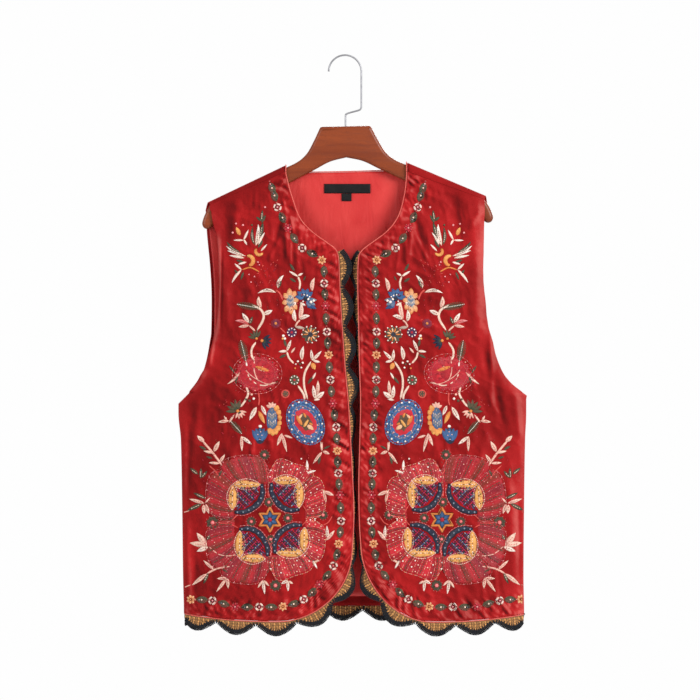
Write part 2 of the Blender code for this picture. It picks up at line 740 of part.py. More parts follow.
def edging_object(name, key, frame, start, clear, turn_of):
    """A waved strip that leaves the panel's edge, turned back by an angle for each point.

    Distances along the edge are counted from the strip's start.
    """
    total = length_of(frame[0])
    stations = stations_between(key, 0.0, total - EDGING_END - start)
    base, normal, way = (along_with(frame[0], value, (start + stations) / total) for value in frame)
    normal /= np.linalg.norm(normal, axis=1, keepdims=True)
    way /= np.linalg.norm(way, axis=1, keepdims=True)
    angle = np.radians([turn_of(p) for p in base])[:, None]
    lead = np.cos(angle) * way - np.sin(angle) * normal
    hem_share = smoothstep((HEM_LOBES["from"] - base[:, 2]) / HEM_LOBES["over"])
    reach = LOBE_REACH["front"] + (LOBE_REACH["hem"] - LOBE_REACH["front"]) * hem_share
    deep = VALLEY_REACH + (reach - VALLEY_REACH) * wave(stations, key)
    middle = base - normal * VELVET / 2
    rows = np.stack([middle + lead * clear, middle + lead * deep[:, None]], axis=0)
    obj = sheet_object(name, [rows], CROCHET, 1)
    obj.modifiers["wall"].offset = 0
    return finish(obj, "crochet_gold")


def along_with(line, values, shares):
    """The values that belong to a line's points, at these shares of its length."""
    lengths = np.concatenate([[0], np.cumsum(np.linalg.norm(np.diff(line, axis=0), axis=1))])
    wanted = np.asarray(shares) * lengths[-1]
    return np.stack([np.interp(wanted, lengths, values[:, k]) for k in range(values.shape[1])], axis=1)


def build_front_edging(side_name, grid):
    """The edging of one front, from the foot of the neckline round the corner to the side."""
    side = SIDES[side_name]
    frame = front_edge_frame(side, grid)
    start = share_at_height(frame[0][:, ::2], EDGING_TOP) * length_of(frame[0])
    column = 1 if side == RIGHT else 2

    def turn_of(point):
        if abs(point[0] - BODY_CENTRE) > EDGING_FLAT_BEYOND:
            return 0.0
        return float(level(EDGING_TURN, point[2], column))

    edging_object(f"front_{side_name}_edging", side, frame, start, EDGING_OFF["piped"], turn_of)


def build_back_edging(grid):
    """The edging of the back's hem."""
    points = grid[-1]
    normals = grid_normals(grid, 1)[-1]
    off = off_panel(points, normals, -1)
    off *= -np.sign(off[:, 2:3])
    flat = (points, normals, off)
    edging_object("back_edging", "back", flat, EDGING_END, EDGING_OFF["plain"], lambda point: 0.0)


def build_label(name, size):
    """A flat tape on the lining's inner face."""
    middle = size["top"] - size["height"] / 2
    face = float(depth("back", np.array(size["x"]), np.array(middle))) - VELVET - SEAM - LINING
    bpy.ops.mesh.primitive_cube_add(size=1)
    tape = bpy.context.object
    tape.name = name
    move_to(tape, vest)
    centre = Vector((size["x"], face - SEAM - LABEL_CLOTH / 2, middle))
    extent = Vector((size["width"], LABEL_CLOTH, size["height"]))
    for v in tape.data.vertices:
        v.co = (centre + v.co * extent) * MM
    finish(tape, "label_black")


# ---------------------------------------------------------------- build

for old in list(bpy.data.objects):
    bpy.data.objects.remove(old)
vest = bpy.data.collections.new("folk_vest_on_hanger")
cutters = bpy.data.collections.new("cutters")
for group in (vest, cutters):
    bpy.context.scene.collection.children.link(group)

build_hanger()
build_hook()
back, shoulder_flaps = build_back()
build_lining(back, shoulder_flaps)
build_neck_piping(back, shoulder_flaps)
build_back_edging(back)
for front_name in SIDES:
    front = build_front(front_name)
    build_front_piping(front_name, front)
    build_front_edging(front_name, front)
build_label("neck_label", NECK_LABEL)
build_label("size_tab", SIZE_TAB)
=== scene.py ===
"""The look of the embroidered folk vest on its wooden hanger.

The vest's cloth is laid out as (x, height) on flat panels and then placed in space by the same
functions that shape its solids, on a finer grid and with creases. Embroidery is stitched on the
right front's flat sheet and carried onto the cloth, mirrored for the left front. X is across,
the front faces -Y and +Z is up. "Right" and "left" are the wearer's. Sizes are in millimetres
until a mesh is made.
"""

import math
from functools import partial

import bmesh
import bpy
import numpy as np
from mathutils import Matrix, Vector
from mathutils.bvhtree import BVHTree


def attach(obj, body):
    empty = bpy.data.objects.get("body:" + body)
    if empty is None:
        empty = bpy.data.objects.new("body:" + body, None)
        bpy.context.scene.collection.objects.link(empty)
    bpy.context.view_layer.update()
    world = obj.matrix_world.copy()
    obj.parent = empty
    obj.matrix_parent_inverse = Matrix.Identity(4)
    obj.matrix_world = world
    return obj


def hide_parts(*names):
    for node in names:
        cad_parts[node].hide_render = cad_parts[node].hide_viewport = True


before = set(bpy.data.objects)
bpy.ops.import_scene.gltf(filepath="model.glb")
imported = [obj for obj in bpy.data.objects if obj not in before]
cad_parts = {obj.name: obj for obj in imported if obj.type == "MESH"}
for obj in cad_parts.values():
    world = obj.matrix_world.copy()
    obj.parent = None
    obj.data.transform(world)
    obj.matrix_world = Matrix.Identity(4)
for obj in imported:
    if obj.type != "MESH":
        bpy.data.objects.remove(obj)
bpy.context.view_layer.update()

MM = 0.001
# Points closer than this, in metres, are one
WELD = 0.00001

# Cloth walls and the gaps between pieces
VELVET = 1.6
LINING = 1
LABEL_CLOTH = 1
PIPING = 1.6
SEAM = 0.3
REST = 0.5

# Hanger: a flat board with rounded edges, and a bent wire hook
BOARD = 12
BOARD_EDGE = 5
BOARD_TOP = -102.4
ARM_ANCHOR = (92, -162.5)
ARM_SLOPE = 0.449
ARM_STRAIGHT = (86, 190)
TILT = math.radians(1.27)
WIRE = 2.6
HOOK_RADIUS = 23.8
HOOK_CENTRE = -0.8
HOOK_STRAIGHT = 56
HOOK_BEND = 4
HOOK_BEND_CUT = 0.3
HOOK_CRANK_DROP = 5.5
HOOK_CRANK_EASE = 0.66
HOOK_DEPTH = 16

# Half of the board's outline, at x and height: its top edge, the rounded tip and the underside.
# The arm's straight top edge runs between the shoulder and the tip.
BOARD_SHOULDER = (
    (34.5, -102.4), (37.5, -104.6), (44.5, -118.8), (55.5, -138.6), (65.5, -149), (75.5, -155.2),
)
BOARD_TIP = (
    (199.5, -213.5), (206.5, -224), (211, -235), (211.8, -241.5), (208.5, -246.6), (202, -247),
    (194, -240.5),
)
BOARD_UNDERSIDE = ((85.6, -184.2), (48, -165.6), (24, -153.6), (0, -147.8))

# The cloth's outer face turns over the arms on this radius
WRAP = BOARD / 2 + REST + LINING + SEAM + VELVET
WRAP_ARC = math.pi / 2 * WRAP
ARM_TO_FOLD = (REST + LINING + SEAM + VELVET) * math.hypot(1, ARM_SLOPE)

RIGHT, LEFT = -1, 1
SIDES = {"front_right": RIGHT, "front_left": LEFT}
# Where each side's values stand in a table's rows
COLUMN = {RIGHT: 1, LEFT: 2}

# Shoulders: where the neck side and the tip lie, and how far in front of the fold the seam is
SHOULDER = {
    RIGHT: {"neck": -88, "tip": -204.5, "seam_end": -197.5, "at_neck": 15, "at_tip": 10.5},
    LEFT: {"neck": 90, "tip": 207, "seam_end": 202.5, "at_neck": 19, "at_tip": 11.5},
}
NECKS, TIPS = ([SHOULDER[side][end] for side in (RIGHT, LEFT)] for end in ("neck", "tip"))
BACK_NECK_SAG = 2

# Front neckline, from the shoulder seam down to the front corner: x, height
NECKLINE = {
    RIGHT: ((-83.1, -192.4), (-78, -208.7), (-69.9, -232.1), (-59.7, -247.4), (-45.5, -260.6),
            (-27.1, -273.8), (-15.5, -283)),
    LEFT: ((88.4, -192), (85.6, -208), (80, -229), (71, -245.5), (58, -259.5),
           (39, -273.5), (24.5, -285)),
}
# Front edge below it: height, x of the right front, x of the left front
FRONT_EDGE = (
    (-297, -10.9, 19.8), (-335, -9.4, 18.9), (-385, -6.6, 20), (-450, -2, 21.4), (-505, 2.9, 23),
    (-560, 6.2, 21.8), (-617, 9.2, 20.4), (-668, 10.9, 20.9),
)
# Rounded front corners: a quarter ellipse from the edge to the hem
CORNER = {
    RIGHT: {"centre_x": -100, "start": -716, "edge_x": 8.6, "bottom": -821},
    LEFT: {"centre_x": 128, "start": -702, "edge_x": 22.6, "bottom": -821.5},
}
# The fronts' hem: how far its middle sags, and where it meets the side seam
HEM_SAG = 2.5
HEM_SIDE = {RIGHT: (-235.6, -811.5), LEFT: (260.3, -812.5)}

# Armhole edges of the fronts and of the back: height, x
ARMHOLE_TOP = -206
ARMHOLE_FRONT = {
    RIGHT: ((-240, -193.5), (-272, -185.2), (-305, -183.7), (-341, -183.2), (-400, -187.8),
            (-443, -201), (-465, -209.5), (-484, -221.5), (-506.8, -243.6)),
    LEFT: ((-228, 202.4), (-244, 201.6), (-314, 200.3), (-356, 202.9), (-388, 206.6),
           (-421, 213.9), (-457, 226.6), (-476, 240.4), (-495.2, 264.4)),
}
ARMHOLE_BACK = {
    RIGHT: ((-253, -202.8), (-305, -198), (-347, -195.8), (-400, -196.2), (-414, -197.8),
            (-443, -203), (-465, -210), (-484, -221.6), (-506.8, -243.6)),
    LEFT: ((-244, 200.8), (-314, 197.5), (-356, 199.9), (-388, 203.4), (-421, 211.4),
           (-457, 225.4), (-476, 239.8), (-495.2, 264.4)),
}
# Side seams below the underarm: height, x of the right side, x of the left side
SIDE_SEAM = (
    (-520, -243.6, 263.4), (-560, -240, 261.7), (-650, -238.2, 260.3), (-760, -236.8, 259.4),
    (-812, -235.6, 260.3),
)
BACK_HEM = {"side": -808.5, "centre": -803}

# How far the cloth stands from the hanger's plane: height, at the armhole edge, front, back
DEPTH = (
    (-160, 9.25, 11, 10), (-220, 9.25, 15, 12), (-290, 11, 21, 15.5), (-360, 12, 25, 18.5),
    (-430, 9.5, 27, 20.5), (-480, 4.5, 28, 21.5), (-507, 1.35, 28.3, 22), (-650, 1.35, 29.5, 23),
    (-840, 1.35, 30.5, 23.5),
)
# It bulges about this x, along a curve of this power
BODY_CENTRE = 9
CROWN_POWER = 4
# How far below the shoulders it is at its full depth, and how far its side edges turn in
SHOULDER_REACH = 95
EDGE_RETURN = 1.34

# The front's first rows, from the shoulder seam round to the flat of the front
SEAM_ROWS = (0, 0.04, 0.12, 0.25, 0.4, 0.55, 0.7, 0.85)
BELOW_TURN = 3

# Crochet edging: waves of one pitch, deep at the lobes and narrow between them
LOBE_PITCH = {RIGHT: 57.7, LEFT: 57, "back": 58}
LOBE_REACH = {"front": 20, "hem": 22.5}
LOBE_ROUNDNESS = 1.1
HEM_LOBES = {"from": -740, "over": 60}
VALLEY_REACH = 8
EDGING_OFF = {"piped": 3.1, "plain": SEAM}
FIRST_VALLEY = {RIGHT: 51, LEFT: 55, "back": 31.7}
EDGING_SEED = {RIGHT: 5, LEFT: 6, "back": 7}
EDGING_TOP = -286
EDGING_END = 2
EDGING_FLAT_BEYOND = 130
# How far the edging turns back into the opening: height, right front, left front (degrees)
EDGING_TURN = (
    (-285, -6, 42), (-330, -5, 50), (-380, -3, 60), (-440, 0, 74), (-468, 3, 82), (-490, 16, 86),
    (-515, 42, 87), (-540, 62, 87), (-600, 74, 87), (-690, 75, 87), (-735, 54, 66), (-770, 14, 18),
    (-800, 0, 4),
)

# Labels inside the back neck
NECK_LABEL = {"x": 2.5, "top": -186, "width": 67.5, "height": 13.5}
SIZE_TAB = {"x": 1.5, "top": -199.8, "width": 14.5, "height": 11}
LABEL_STEPS = (31, 9)
# The tapes' slight wave: its height and its lengths across and up
LABEL_WAVE = (0.12, 5.3, 3.1)

# Grid steps of the panels, above and below the underarm and across
ROWS_ABOVE = 150
ROWS_BELOW = 140
FRONT_COLUMNS = 84
BACK_ROWS_ABOVE = 64
BACK_ROWS_BELOW = 60
SHOULDER_COLUMNS = 24
NECK_COLUMNS = 40
# Columns that the neck cord leaves out where it turns from the shoulders to the neck
CORD_CORNER = 3
# How much of a rounded corner's height belongs to the front's edge, and the shortest edge step
CORNER_SHARE = 0.72
TRIM = 1.2
FLAP_ROWS = 24
FLAP_END_STEP = 0.985
# How far the lining ends short of the back's edges and hem
LINING_INSET_COLUMNS = 4
LINING_HEM_BAND = 14
STEPS_PER_LOBE = 28

# Gathers along the fronts' free edges, and the waves that stitching leaves in the cloth
PUCKER_REACH = 36
PUCKER_HEIGHT = 1.5
# How far the gathers' pattern drifts outwards along the edge, as a share of the way
PUCKER_DRIFT = 26 / 90
FRONT_COCKLE = 1.8
CREASE_DEPTH = 1.25
BACK_COCKLE = 0.75
# How far wrinkles wander, their level, and how much of each kind is in them
COCKLE = {"wander": 16, "level": 0.55, "long": 0.6, "slanting": 0.4, "small": 0.42}
# Noise in the cloth: the width and height of its cells, and its seed
NOISES = {
    "wander": (38, 50, 3), "long": (19, 46, 1), "slanting": (24, 15, 2), "small": (5.5, 9, 4),
    "gathers": (6, 26, 5), "strength": (36, 60, 6), "small_gathers": (4.4, 7, 7), "specks": (3.4, 5.5, 8),
}
# How far a crease runs past its ends and over what it fades, as shares of its length
CREASE_PAST, CREASE_FADE = 0.12, 0.36
# How much of the stitches' wrinkling reaches the plain cloth beside the armhole
PLAIN_SHARE = 0.45
SEWN_BELOW = -490
# Distances over which creases grow: from a sewn side, below the shoulder, from the back's edges,
# from the armhole's plain cloth and from a front's edge, beside which a narrow strip lies still
GROW = {"side": 12, "shoulder": 16, "back": 10, "plain": 40, "edge": 8}
EDGE_STILL = 1.5

# Crochet ribs: their pitch, the room of one stitch, how much longer than that and narrower than the
# pitch it is, its thickness, the shortest rib, how far they reach under the cord and the border,
# their lean, and their yarn's tones, lighter and darker on alternate ribs as painted light and shade
RIBS = {
    "pitch": 3.7, "stitch": 4.2, "longer": 1.3, "narrower": 0.92, "thick": 2.3, "least": 1.6,
    "under_cord": 0.5, "under_border": 0.3, "lean": 0.42, "tones": (1.1, 0.62), "uneven": (0.85, 1.12),
}
# The border over them: loops along its edge, rows of stitches inside, a spike at every second loop,
# and how far its yarn's light and hue vary
BORDER = {
    "depth": 8, "loop_pitch": 2.4, "spike_every": 2, "spike": 2.8, "overlap": 0.6, "light": (0.6, 1.5),
    "hue": (0.85, 1.15),
}
# Distance in from the border's edge, and the length, width and thickness of each row's stitches
LOOPS = (1.4, 3, 2.6, 2.8)
BORDER_ROWS = ((3.4, 3.4, 2.7, 3), (5.2, 3.4, 2.7, 3), (7, 3.4, 2.5, 2.9))
SPIKE_EXTRA, SPIKE_WIDE, SPIKE_THICK = 1.6, 2, 2.9
# The ground strip: its rows of points, how far it ends short of the border's edge, how far it is
# tucked under the cord, its least distance from the cloth and its thickness
GROUND = {"rows": 6, "short": 3, "tucked": 1.4, "least": 0.1, "thick": 1.1}
OUTLINE_STEPS = 1400

# Embroidery: how deep a thread's sides sink into the pile, and how high it stands
SINK = 0.3
BURIED = 1.4
LEAF_HEIGHT = 1.2
STEM_HEIGHT = 1
# Leaves and stems are this much wider than stated, so that they cover the cloth
LEAF_FULLNESS = 1.22
STEM_FULLNESS = 1.2
# A disc's rings of points as shares of its radius, the last two of them underneath, its points to a
# petal, and the fewest petals it counts as having
DISC_RINGS = (0.08, 0.3, 0.52, 0.72, 0.88, 1, 0.7, 0.1)
DISC_POINTS, DISC_PETALS = 6, 3
# How far the needlework stays off the side edges, how much lighter its thread is than stated, and
# how light it is at most
SIDE_CLEAR = 3
THREAD_LIGHT, THREAD_LIGHTEST = 1.02, 0.95
# How far a stitch's middle stands off what it lies on: a little, and a share of its height
STITCH_OFF, STITCH_SHARE = 0.25, 0.12
# How much darker a strip of satin is painted along its rounded edges, as painted shade
EDGE_SHADE = 0.25
STATION_VECTORS = ("along", "out", "size")
KNOTS_SEED, SCATTER_SEED = 3, 11
# A stitch's sides and rings of faces, and how much its size varies
STITCH_SIDES, STITCH_RINGS, STITCH_SPREAD = 6, 4, 0.1

# The medallion: its lobes lie between two rounded squares, and each blossom has a place and a turn
MEDALLION = {
    "centre": (-109.5, -674.2),
    "inner": 50,
    "outer": 94,
    "lobes": 8,
    "bands": 9,
    "bow": 4,
    # How high its bands stand, and the lines between them
    "lifts": (0.75, 0.35),
    # Half the angle a lobe takes up
    "half_angle": 21.5,
    # How deep the lobes part at the corners, and at the middles of the sides
    "valleys": (0.14, 0.5),
    # How much of its reach the medallion keeps on the side by the front edge
    "squeezed": 0.86,
    "blossoms": ((-83.4, -637.3, 0), (-79.8, -706.2, -90), (-137, -710.5, 180), (-143.6, -639.5, 90)),
}
# A corner blossom, at its own across and up
BLOSSOM = {
    # The lattice: its corner, the radii of its rows, its cells, and the band its stitches keep to
    "corner": (14, 15),
    "rows": (3, 12, 20, 28, 36),
    "cell": (4.2, 2.1),
    "band": (7, 34),
    "below": 13.5,
    # Foot, tip and width of the two leaves, and the routes of the arc and of the stitches behind it
    "leaves": (((-21, 20.5), (17, 19.5), 13.6), ((16.5, 20), (16, -20.5), 13.2)),
    "arc": ((-24, 17), (-23, 1), (-12.5, -15.5), (2, -23), (17, -22)),
    "rim": ((-28.4, 17), (-27.6, 0), (-15.6, -19.6), (1, -27.6), (16, -27)),
}
# The second thread set of each pair is lighter and goes to the lobes on the medallion's half towards the
# front edge, as painted light on that half
PETAL_THREADS = (
    ("ruby", "berry", "garnet", "ruby", "brick"),
    ("scarlet", "garnet", "ruby", "garnet", "scarlet"),
)
OUTLINE_THREADS = (["dusk", "clay", "rose", "dusk"], ["peach", "coral", "rose"])
LATTICE_THREADS = ("magenta", "plum", "navy", "crimson", "steel", "magenta", "wine", "mist")
SEED_STITCHES = (
    (-132, -98, -336, -296, 46), (-164, -92, -490, -438, 40), (-118, -60, -392, -336, 20),
    (-190, -140, -560, -500, 24), (-214, -186, -650, -560, 16), (-196, -40, -600, -575, 22),
)
SEED_THREADS = ("crimson", "berry", "brick", "coral", "crimson")
# The left front's motifs lie at this shift less the right front's x: heights, shifts
MIRROR_SHIFT = ((-675, -540, -472, -402, -333, -221), (30.5, 26.8, 22.5, 18.1, 13, 5.8))

THREAD_COLOURS = {
    "white": "#FAEAE0", "cream": "#F4D4C0", "blush": "#F0B8A6", "peach": "#F2BE94", "grey": "#BCA898",
    "mist": "#8290A0", "sky": "#4270A6", "steel": "#2C5080", "navy": "#19233A", "olive": "#544C36",
    "moss": "#3A4430", "bark": "#5A3E2E", "gold": "#EEAC5E", "orange": "#DE843E", "coral": "#DA5046",
    "rose": "#EE9A9C", "rose_red": "#D23646", "crimson": "#B4162C", "berry": "#8E1224", "brick": "#8A271C",
    "plum": "#481C48", "magenta": "#B02458", "wine": "#640A1E", "garnet": "#A41622", "ruby": "#B21824",
    "scarlet": "#CC2230", "dusk": "#C05A58", "clay": "#8A4438", "pink": "#F27A7C",
}

# Colours of the velvet, from painted shade through its own wine red to a pale painted highlight, and of the
# yarns
VELVET_SHADE_TO_HIGHLIGHT = ((0, "#480204"), (0.28, "#740709"), (0.5, "#930E10"), (0.72, "#A91B1D"), (1, "#C04B47"))
CRUSH_SHARE = 0.2
# How pale the velvet is painted: its mean; painted light and shade by how far the cloth tilts right
# and up, towards the light; painted light on ridges and painted shade in troughs, by its height;
# painted light growing to the right, by its place across; wear along the sides, which also stands as
# a painted highlight; and handling along the front's edge, with painted highlights
PAINTED_LIGHT_AND_WEAR = {
    "level": 0.37, "tilt": (0.8, 0.6), "rise": 0.06, "lit_rightwards": 0.0003, "worn": 0.27,
    "worn_reach": 16, "handled_and_highlit": 0.5, "handled_and_highlit_reach": 22,
}
YARN_GOLD = "#C88F54"
YARN_NAVY = "#0B1119"

VIEW = {"x": 0.0065, "height": -0.4285, "distance": 4.5, "front": 0.024, "width": 1.015}
# Name, place, size and power of each light
STUDIO_LIGHTS = (
    ("key", (2.3, -2.2, 0.9), 1.8, 128), ("fill", (-2.3, -1.9, 0.3), 1.8, 44),
    ("back", (0.6, 2.6, 0.8), 1.8, 72),
)
ROOM_GLOW = 0.5
FLOOR_SIZE, FLOOR_HEIGHT = 2.4, -1.6
LEAF_TIPS = {"cream": "white", "blush": "cream", "olive": "moss", "coral": "rose", "orange": "gold"}
LEAF_VEINS = {"cream": "clay", "blush": "dusk", "white": "dusk", "olive": "cream", "coral": "berry"}

# Leaves of each thread: x and height of the foot, how far across and up the tip lies from it, width,
# and bow if any
LEAVES = {
    "cream": (
        (-145, -292, -29, 15, 4.5, 0.08), (-147, -295, -22, 4, 4), (-144, -301, -12, -3, 3.5),
        (-148, -269, -15, 0, 3), (-148, -269, 7, 15, 3.5), (-148, -268, 5, -8, 3),
        (-151, -312, -10, 9, 3.5), (-151, -312, -14, -19, 4, -0.05), (-130, -277, 3, 31, 6.5, -0.05),
        (-126, -277, 9, 19, 4, 0.08), (-123, -285, 9, 10, 3), (-98, -339, 8, 19, 5.5, 0.12),
        (-101, -345, -26, -1, 5, -0.14), (-69, -322, -13, 8, 3.5), (-69, -321, 7, 4, 3.5),
        (-119, -377, 13, 6, 6.5), (-140, -389, -10, 14, 6), (-72, -387, -2, 17, 6, 0.1),
        (-66, -384, 14, 5, 6, 0.1), (-78, -367, 6, 9, 6), (-66, -360, 8, -4, 4), (-85, -430, 6, 16, 4.5),
        (-85, -430, -12, -1, 4), (-63, -443, 2, 20, 6, 0.06), (-48, -444, -2, 16, 4.5),
        (-48, -444, 13, 14, 4.5), (-47, -444, 10, -2, 4), (-48, -471, 5, 10, 3), (-44, -499, -3, 19, 6),
        (-43, -499, 12, 10, 7), (-46, -501, 9, 1, 3), (-129, -511, -10, -19, 6.5), (-122, -509, 7, -14, 5),
        (-151, -554, 15, -11, 5), (-199, -714, -17, -7, 6.5), (-120, -762, 3, -20, 4.5),
        (-84, -762, -9, -5, 4.5), (-84, -762, 1, -16, 4.5), (-26, -701, -1, 18, 4.5),
    ),
    "olive": (
        (-153, -287, -20, 16, 5, 0.1), (-148, -301, -11, 3, 3.5), (-156, -318, -5, 6, 3),
        (-148, -315, -4, -12, 3.5), (-132, -276, -3, 26, 5, 0.08), (-125, -269, 5, 26, 6.5),
        (-127, -280, 7, 11, 4), (-122, -241, -8, 6, 4), (-122, -241, 1, 16, 4.5), (-122, -244, 6, 12, 4),
        (-98, -339, 2, 17, 5, -0.1), (-106, -342, -15, 1, 3.5), (-74, -314, -7, 11, 4),
        (-72, -330, -9, 6, 4), (-61, -328, 3, 7, 2.5), (-139, -391, 4, 11, 4.5), (-86, -424, -3, 11, 4),
        (-86, -435, -10, -5, 4), (-47, -467, -8, -11, 4), (-160, -463, -9, 12, 3),
        (-157, -464, -2, -14, 3.5), (-202, -573, -10, 5, 4), (-193, -586, -9, 3, 3),
        (-179, -602, -6, -12, 3.5), (-39, -594, 2, 14, 4), (-32, -572, 10, 5, 3), (-203, -644, -18, 8, 5),
        (-209, -652, -21, -10, 6), (-214, -609, -12, 9, 5), (-210, -615, 0, 15, 5),
        (-209, -614, 8, 10, 4.5), (-201, -705, 5, 10, 5), (-199, -752, -7, -16, 4.5),
        (-179, -745, 10, -7, 3.5),
    ),
    "white": (
        (-151, -290, -21, 6, 4), (-55, -604, -1, 16, 4), (-57, -607, 14, 4, 4), (-41, -745, -7, 13, 3),
    ),
    "orange": (
        (-153, -262, -6, 12, 6), (-49, -447, 5, -10, 7), (-126, -517, 9, -18, 6),
    ),
    "blush": (
        (-48, -343, 3, 19, 6, 0.1), (-122, -367, -4, 16, 6.5, 0.1), (-140, -393, -15, -2, 4.5),
        (-67, -383, 2, 24, 6.5, -0.08), (-79, -433, 6, 8, 3), (-40, -493, 0, 20, 5),
        (-152, -460, -19, -18, 4, 0.05), (-169, -531, -16, -2, 4.5), (-169, -534, 8, 12, 3),
        (-172, -530, -4, 6, 3), (-151, -553, 1, -22, 4.5), (-92, -549, -7, -18, 5),
        (-92, -550, 7, -26, 4.5), (-89, -552, 12, -4, 3.5), (-205, -562, -10, 9, 6),
        (-191, -578, -15, 3, 4), (-191, -576, 8, 15, 6), (-183, -593, -15, 1, 4), (-183, -592, 8, 12, 4.5),
        (-34, -576, -13, -17, 4.5), (-33, -575, 10, -4, 4.5), (-34, -575, -2, 14, 3),
        (-205, -651, -22, 6, 5), (-206, -653, 1, -13, 6), (-203, -652, 5, -14, 5), (-204, -651, 8, 9, 3),
        (-201, -713, -15, 19, 8.5), (-201, -712, -25, 3, 8), (-201, -753, -22, -17, 6),
        (-191, -747, -15, 13, 4.5), (-172, -759, -15, -20, 4.5), (-172, -759, -14, -1, 4.5),
        (-171, -759, 1, -15, 5), (-120, -762, -7, -11, 3.5), (-119, -762, 8, -8, 3.5),
        (-83, -763, 7, -4, 3.5), (-28, -649, -5, 19, 4.5), (-31, -633, 14, -6, 5), (-28, -704, 12, 14, 5),
        (-48, -736, 10, 3, 3),
    ),
    "coral": (
        (-140, -392, -20, 6, 5, -0.1),
    ),
    "grey": (
        (-73, -395, 14, -2, 4.5),
    ),
}
# Stems of each thread: width, x and height of the foot, then the route's points from there
STEMS = {
    "orange": (
        (2.2, (-150, -312), (12, 3), (25, -3)),
    ),
    "coral": (
        (2.4, (-101, -341), (6, -6), (10, -15)), (2, (-95, -396), (8, -8)),
        (2.2, (-126, -490), (1, -11), (0, -19)), (2, (-117, -586), (-1, -11), (4, -20), (11, -27)),
        (1.6, (-34, -667), (-16, -2), (-28, 14)), (1.6, (-50, -669), (-14, -15)),
        (1.6, (-102, -760), (-3, 16), (5, 27)), (1.6, (-105, -744), (-9, 12)),
        (1.6, (-186, -679), (16, 0), (30, 12)), (1.6, (-170, -679), (14, -7)),
        (1.6, (-32, -682), (7, 4), (13, 13)), (1.6, (-112, -634), (0, -7)), (1.6, (-102, -630), (-7, -8)),
        (1.6, (-106, -711), (-2, -16), (1, -32)), (1.6, (-198, -596), (10, -9), (18, -21)),
    ),
    "cream": (
        (2.8, (-69, -322), (3, -9), (2, -19)),
        (3.6, (-135, -363), (11, -6), (16, -14), (15, -23), (7, -37)),
        (3.2, (-130, -417), (-6, -10), (-6, -20), (-2, -27)),
        (2.4, (-143, -459), (6, -13), (23, -21), (42, -16)), (2.8, (-85, -431), (3, -9), (10, -17)),
        (3.2, (-50, -445), (-9, -17), (-10, -35), (-5, -55)), (3.2, (-69, -480), (8, -12), (10, -20)),
        (3.2, (-144, -482), (3, -9), (-1, -19), (-8, -29)),
    ),
    "blush": (
        (2.6, (-140, -393), (9, -8)), (2.6, (-66, -385), (-4, -4), (-7, -10)),
        (2.4, (-132, -444), (-1, -10), (2, -22), (7, -32)), (3.2, (-208, -560), (15, -17), (29, -36)),
        (2.2, (-34, -562), (0, -13)), (2.2, (-199, -713), (14, -11), (29, -14), (40, -12)),
        (2.8, (-201, -753), (11, 6), (22, 9), (35, 11)), (1.6, (-236, -665), (9, 3)),
        (1.6, (-235, -774), (10, 4)),
    ),
    "white": (
        (2.8, (-144, -445), (1, -8), (1, -14)),
    ),
}
# Single knots of each thread: x, height, radius
SINGLE_KNOTS = {
    "rose": (
        (-159, -245, 1.6), (-149, -247, 1.6), (-164, -258, 1.7), (-117, -221, 1.6), (-127, -301, 1.3),
        (-132, -322, 1.3), (-137, -330, 1.2), (-140, -319, 1.2), (-125, -305, 1.2),
    ),
    "olive": (
        (-136, -247, 1.6), (-66, -449, 1.6), (-139, -502, 2.2), (-144, -500, 1.7),
    ),
    "white": (
        (-69, -445, 1.6), (-62, -447, 1.6), (-72, -449, 1.4), (-64, -454, 1.6), (-90, -408, 2.2),
        (-88, -412, 2), (-133, -499, 1.9), (-46, -357, 2), (-50, -359, 2.2), (-54, -355, 1.7),
        (-70, -601, 1.4), (-64, -586, 1.4), (-91, -598, 1.4), (-78, -593, 1.4),
    ),
    "orange": (
        (-73, -455, 1.4),
    ),
    "gold": (
        (-91, -412, 1.7),
    ),
    "blush": (
        (-136, -493, 2),
    ),
}
# The border chain's direction is taken over this share of its length
CHAIN_STEP = 0.004
# The border chain: x and height of each motif from the shoulder to the side
CHAIN = (
    (-99, -221), (-83.5, -251.5), (-63, -280.5), (-34.5, -298), (-31, -332), (-29, -364.5), (-27, -402),
    (-24.5, -435.5), (-22, -471.5), (-18.5, -506), (-13.5, -540.5), (-12, -574.5), (-10.5, -607),
    (-8, -638.5), (-6.5, -676), (-10, -709), (-17.5, -741), (-38, -768), (-60.5, -789.5), (-90.5, -800),
    (-125, -800.5), (-160, -800.5), (-193, -792), (-224.5, -791),
)
